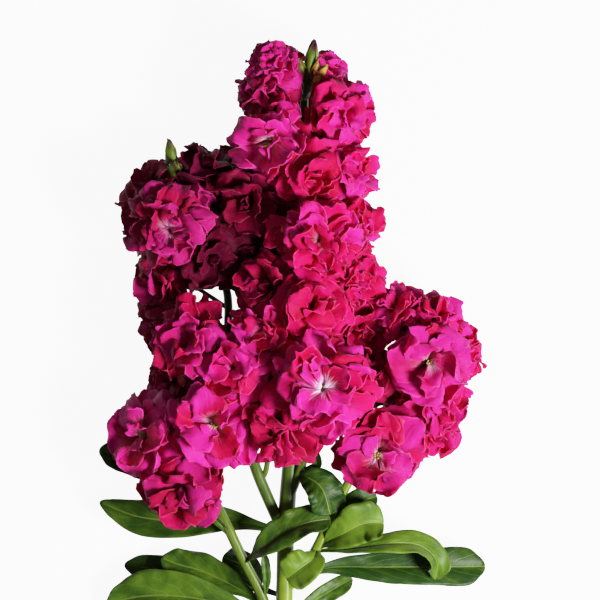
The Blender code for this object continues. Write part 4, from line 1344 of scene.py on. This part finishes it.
SMALL_LEAVES = [
    Leaf("leaf_dark", "front", [(0, -7, 30), (6, -7, 35), (13, -12, 38), (17, -24, 36.5)],
         18, (1, 1, 4), 0.3, 0.05),
    Leaf("leaf_hidden", "right", [(14, -35, 31), (22, -26, 30.5), (30, -19, 30.5),
         (38, -16, 30)], 13, (0, 0, 1), 0.2, 0.1),
    Leaf("leaf_left_short", "low", [(-14, -60, 16), (-20, -50, 11.5), (-32, -44, 10)],
         13, (0, 0, 1), 0.2, 0.1),
    Leaf("leaf_right_low", "main", [(-2, -74, 15), (10, -64, 11), (20, -58, 9),
         (27, -54, 8.5)], 9, (0, 0, 1), 0.2, 0.3),
    Leaf("leaf_bract", "low", [(-27, -36, 29), (-33, -28, 31.5), (-40, -21, 32)],
         5, (-1, -1, 3), 0.3, 0.3),
    Leaf("leaf_narrow", "low", [(-13, -64, 22), (-12, -54, 27.5), (-13, -42, 29.5)],
         4, (1, 0, 3), 0.2, 0.4),
    Leaf("leaf_upright", "front", [(8, -5, 31), (10.5, -2, 33), (9.5, 3, 34), (7, 8, 33)],
         5, (0, 0, 1), 0.2, 0.1),
]
print("leaves", len(LEAVES), "and", len(SMALL_LEAVES), "small ones")

# %% [markdown]
# ## The leaf's finish
#
# The blade is matt, darker or paler by a tone of its own for each leaf, in broad soft bands. The
# midrib and the side veins are paler too, and sunk a little. They are drawn from `side` and
# `along`: lines across the blade that lean towards the tip, bent by noise so that they don't look
# ruled.

# %% Leaf finish
LEAF_LIGHT = (0.135, 0.228, 0.020, 1.0)
LEAF_DARK = (0.016, 0.052, 0.005, 1.0)
LEAF_VEIN = (0.22, 0.30, 0.06, 1.0)
SIDE_VEINS = 7.0
VEIN_LEAN = 2.0
VEIN_BEND = 1.6


def make_leaf_material():
    material, tree, shader = shader_material("leaf_blade", 0.46)
    side, along, tone = (painted_attribute(tree, name) for name in ("side", "along", "tone"))
    where = object_place(tree)
    patches = noise(tree, where, 60.0, 3.0)
    fine = noise(tree, where, 900.0)
    width = side.size()
    branch = along * SIDE_VEINS - width * VEIN_LEAN + patches * VEIN_BEND
    veins = (branch * math.tau).sin().ramp(0.90, 1.0) * (width * 0.7).rest() * patches
    midrib = width.rest().ramp(0.93, 0.985)
    bands = noise(tree, combine(tree, side * 1.3, along * 7.0, patches * 2.0), 1.0)
    share = tone * 0.75 + patches * 0.7 + bands + fine * 0.2
    colour = mixed(tree, LEAF_DARK, LEAF_LIGHT, share.ramp(0.80, 1.85))
    colour = mixed(tree, colour, LEAF_VEIN, veins * 0.45)
    colour = mixed(tree, colour, LEAF_VEIN, midrib * 0.6)
    paint(tree, shader, colour, fine * 0.25 - veins * 0.5 - midrib, 0.5, 0.0005)
    return material


leaf_skin = make_leaf_material()
print("material", leaf_skin.name)

# %% [markdown]
# ## The leaf's shape
#
# A Curve modifier could bend a flat blade along its midrib, but the blade would then turn with the
# curve. The tree samples the curve for every row of the blade instead, works out which way is
# across from the way that the leaf faces, and lifts the two halves into a shallow fold with a
# groove between them. Two noise fields give the edge its waves and the whole blade its sway.

# %% Leaf tree
LEAF_OUTLINE = [(0.0, 0.13), (0.12, 0.22), (0.30, 0.58), (0.48, 0.86), (0.64, 0.99),
                (0.80, 1.0), (0.90, 0.92), (0.96, 0.80), (1.0, 0.58)]
LEAF_GRID = (13, 45)
LEAF_END_ROUNDING = 0.055
TAPER_FROM = 0.72


def leaf_tree():
    tree, given = new_tree("leaf", {
        "Midrib": None, "Width": 0.015, "Face": (0.0, 0.0, 1.0), "Fold": 0.3, "Wave": 0.16,
        "Groove": 0.0005, "Tone": 0.5, "Taper": 0.0, "Seed": 0})
    blade = blade_grid(tree, *LEAF_GRID)
    side, along = attribute(tree, "side"), attribute(tree, "along")
    share = along * (side * side * along ** 6.0 * -LEAF_END_ROUNDING + 1.0)
    rib = add_node(tree, "GeometryNodeSampleCurve", {
        "Curves": smooth_route(tree, given["Midrib"]), "Factor": share}, mode="FACTOR")
    tangent = Field(rib.outputs["Tangent"])
    across = tangent.across(given["Face"])
    upward = across.across(tangent)
    taper = (along.ramp(TAPER_FROM, 1.0) * given["Taper"]).rest()
    half = given["Width"] * 0.5 * outline_curve(tree, along, LEAF_OUTLINE) * taper
    lateral = side * half
    ripple = noise(tree, combine(tree, side * 0.8, along * 7.0, given["Seed"] * 5.3), 1.0, 1.0)
    sway = noise(tree, combine(tree, side * 0.4, along * 2.2, given["Seed"] * 2.9 + 9.0), 1.0,
                 0.0)
    groove = side.size().rest().ramp(0.80, 1.0) * given["Groove"]
    lift = (lateral.size() * given["Fold"] - groove
            + half * (ripple - 0.5) * side * side * given["Wave"] * 6.0
            + half * (sway - 0.5) * side * 1.3)
    spot = Field(rib.outputs["Position"]).vector("ADD", across.times(lateral))
    spot = spot.vector("ADD", upward.times(lift))
    leaf = store(tree, moved(tree, blade, Position=spot), "tone", given["Tone"])
    close_tree(tree, leaf, leaf_skin)
    return tree


leaf_shape = leaf_tree()
print("tree", leaf_shape.name, "nodes", len(leaf_shape.nodes))

# %% Grow every leaf
LEAF_THICKNESS = 0.5
SMALL_LEAF_SEEDS = 20


def leaf_sheet(number, leaf):
    """The thin blade of one leaf, its petiole rooted inside the stem that bears it."""
    knots = [place(row) for row in leaf.midrib]
    knots[0] = nearest_on_route(leaf.route, knots[0])[1]
    guide = route_curve(leaf.name + "_midrib", [[(knot, 1.0) for knot in knots]])
    mesh = grown(leaf.name, leaf_shape, {
        "Midrib": guide, "Width": leaf.width * MM, "Face": Vector(leaf.face).normalized(),
        "Fold": leaf.fold, "Tone": leaf.tone, "Taper": leaf.taper, "Seed": number})
    bpy.data.objects.remove(guide, do_unlink=True)
    return mesh


for number, leaf in enumerate(LEAVES):
    blade = thickened("blade_" + leaf.name, leaf_sheet(number, leaf), LEAF_THICKNESS)
    settle(blade, "leaf", leaf.name)
small_sheets = [leaf_sheet(SMALL_LEAF_SEEDS + number, leaf)
                for number, leaf in enumerate(SMALL_LEAVES)]
small_leaves = joined("small_leaves", small_sheets, LEAF_THICKNESS, "leaf")
print("small leaves", len(small_leaves.data.polygons), "faces")

# %% [markdown]
# ## Ground and finish
#
# The ground is one large grey sheet that glows a little. A white one under the lamp would either
# turn grey in the flower's shadow or throw white light up into the petals, so this one shines by
# itself and is hidden from light that bounces. It isn't part of the object.

# %% Ground
GROUND_SIZE = 4.0
GROUND_GREY = (0.24, 0.24, 0.24, 1.0)
GROUND_GLOW = 1.45

ground_paper, _, ground_shader = shader_material("pale_ground", 0.9, specular=0.0)
ground_shader.inputs["Base Color"].default_value = GROUND_GREY
ground_shader.inputs["Emission Color"].default_value = WHITE
ground_shader.inputs["Emission Strength"].default_value = GROUND_GLOW
sheet = bmesh.new()
bmesh.ops.create_grid(sheet, x_segments=1, y_segments=1, size=GROUND_SIZE)
ground_mesh = bpy.data.meshes.new("ground")
sheet.to_mesh(ground_mesh)
sheet.free()
ground_mesh.materials.append(ground_paper)
ground = add_object("ground", ground_mesh)
ground.visible_diffuse = False
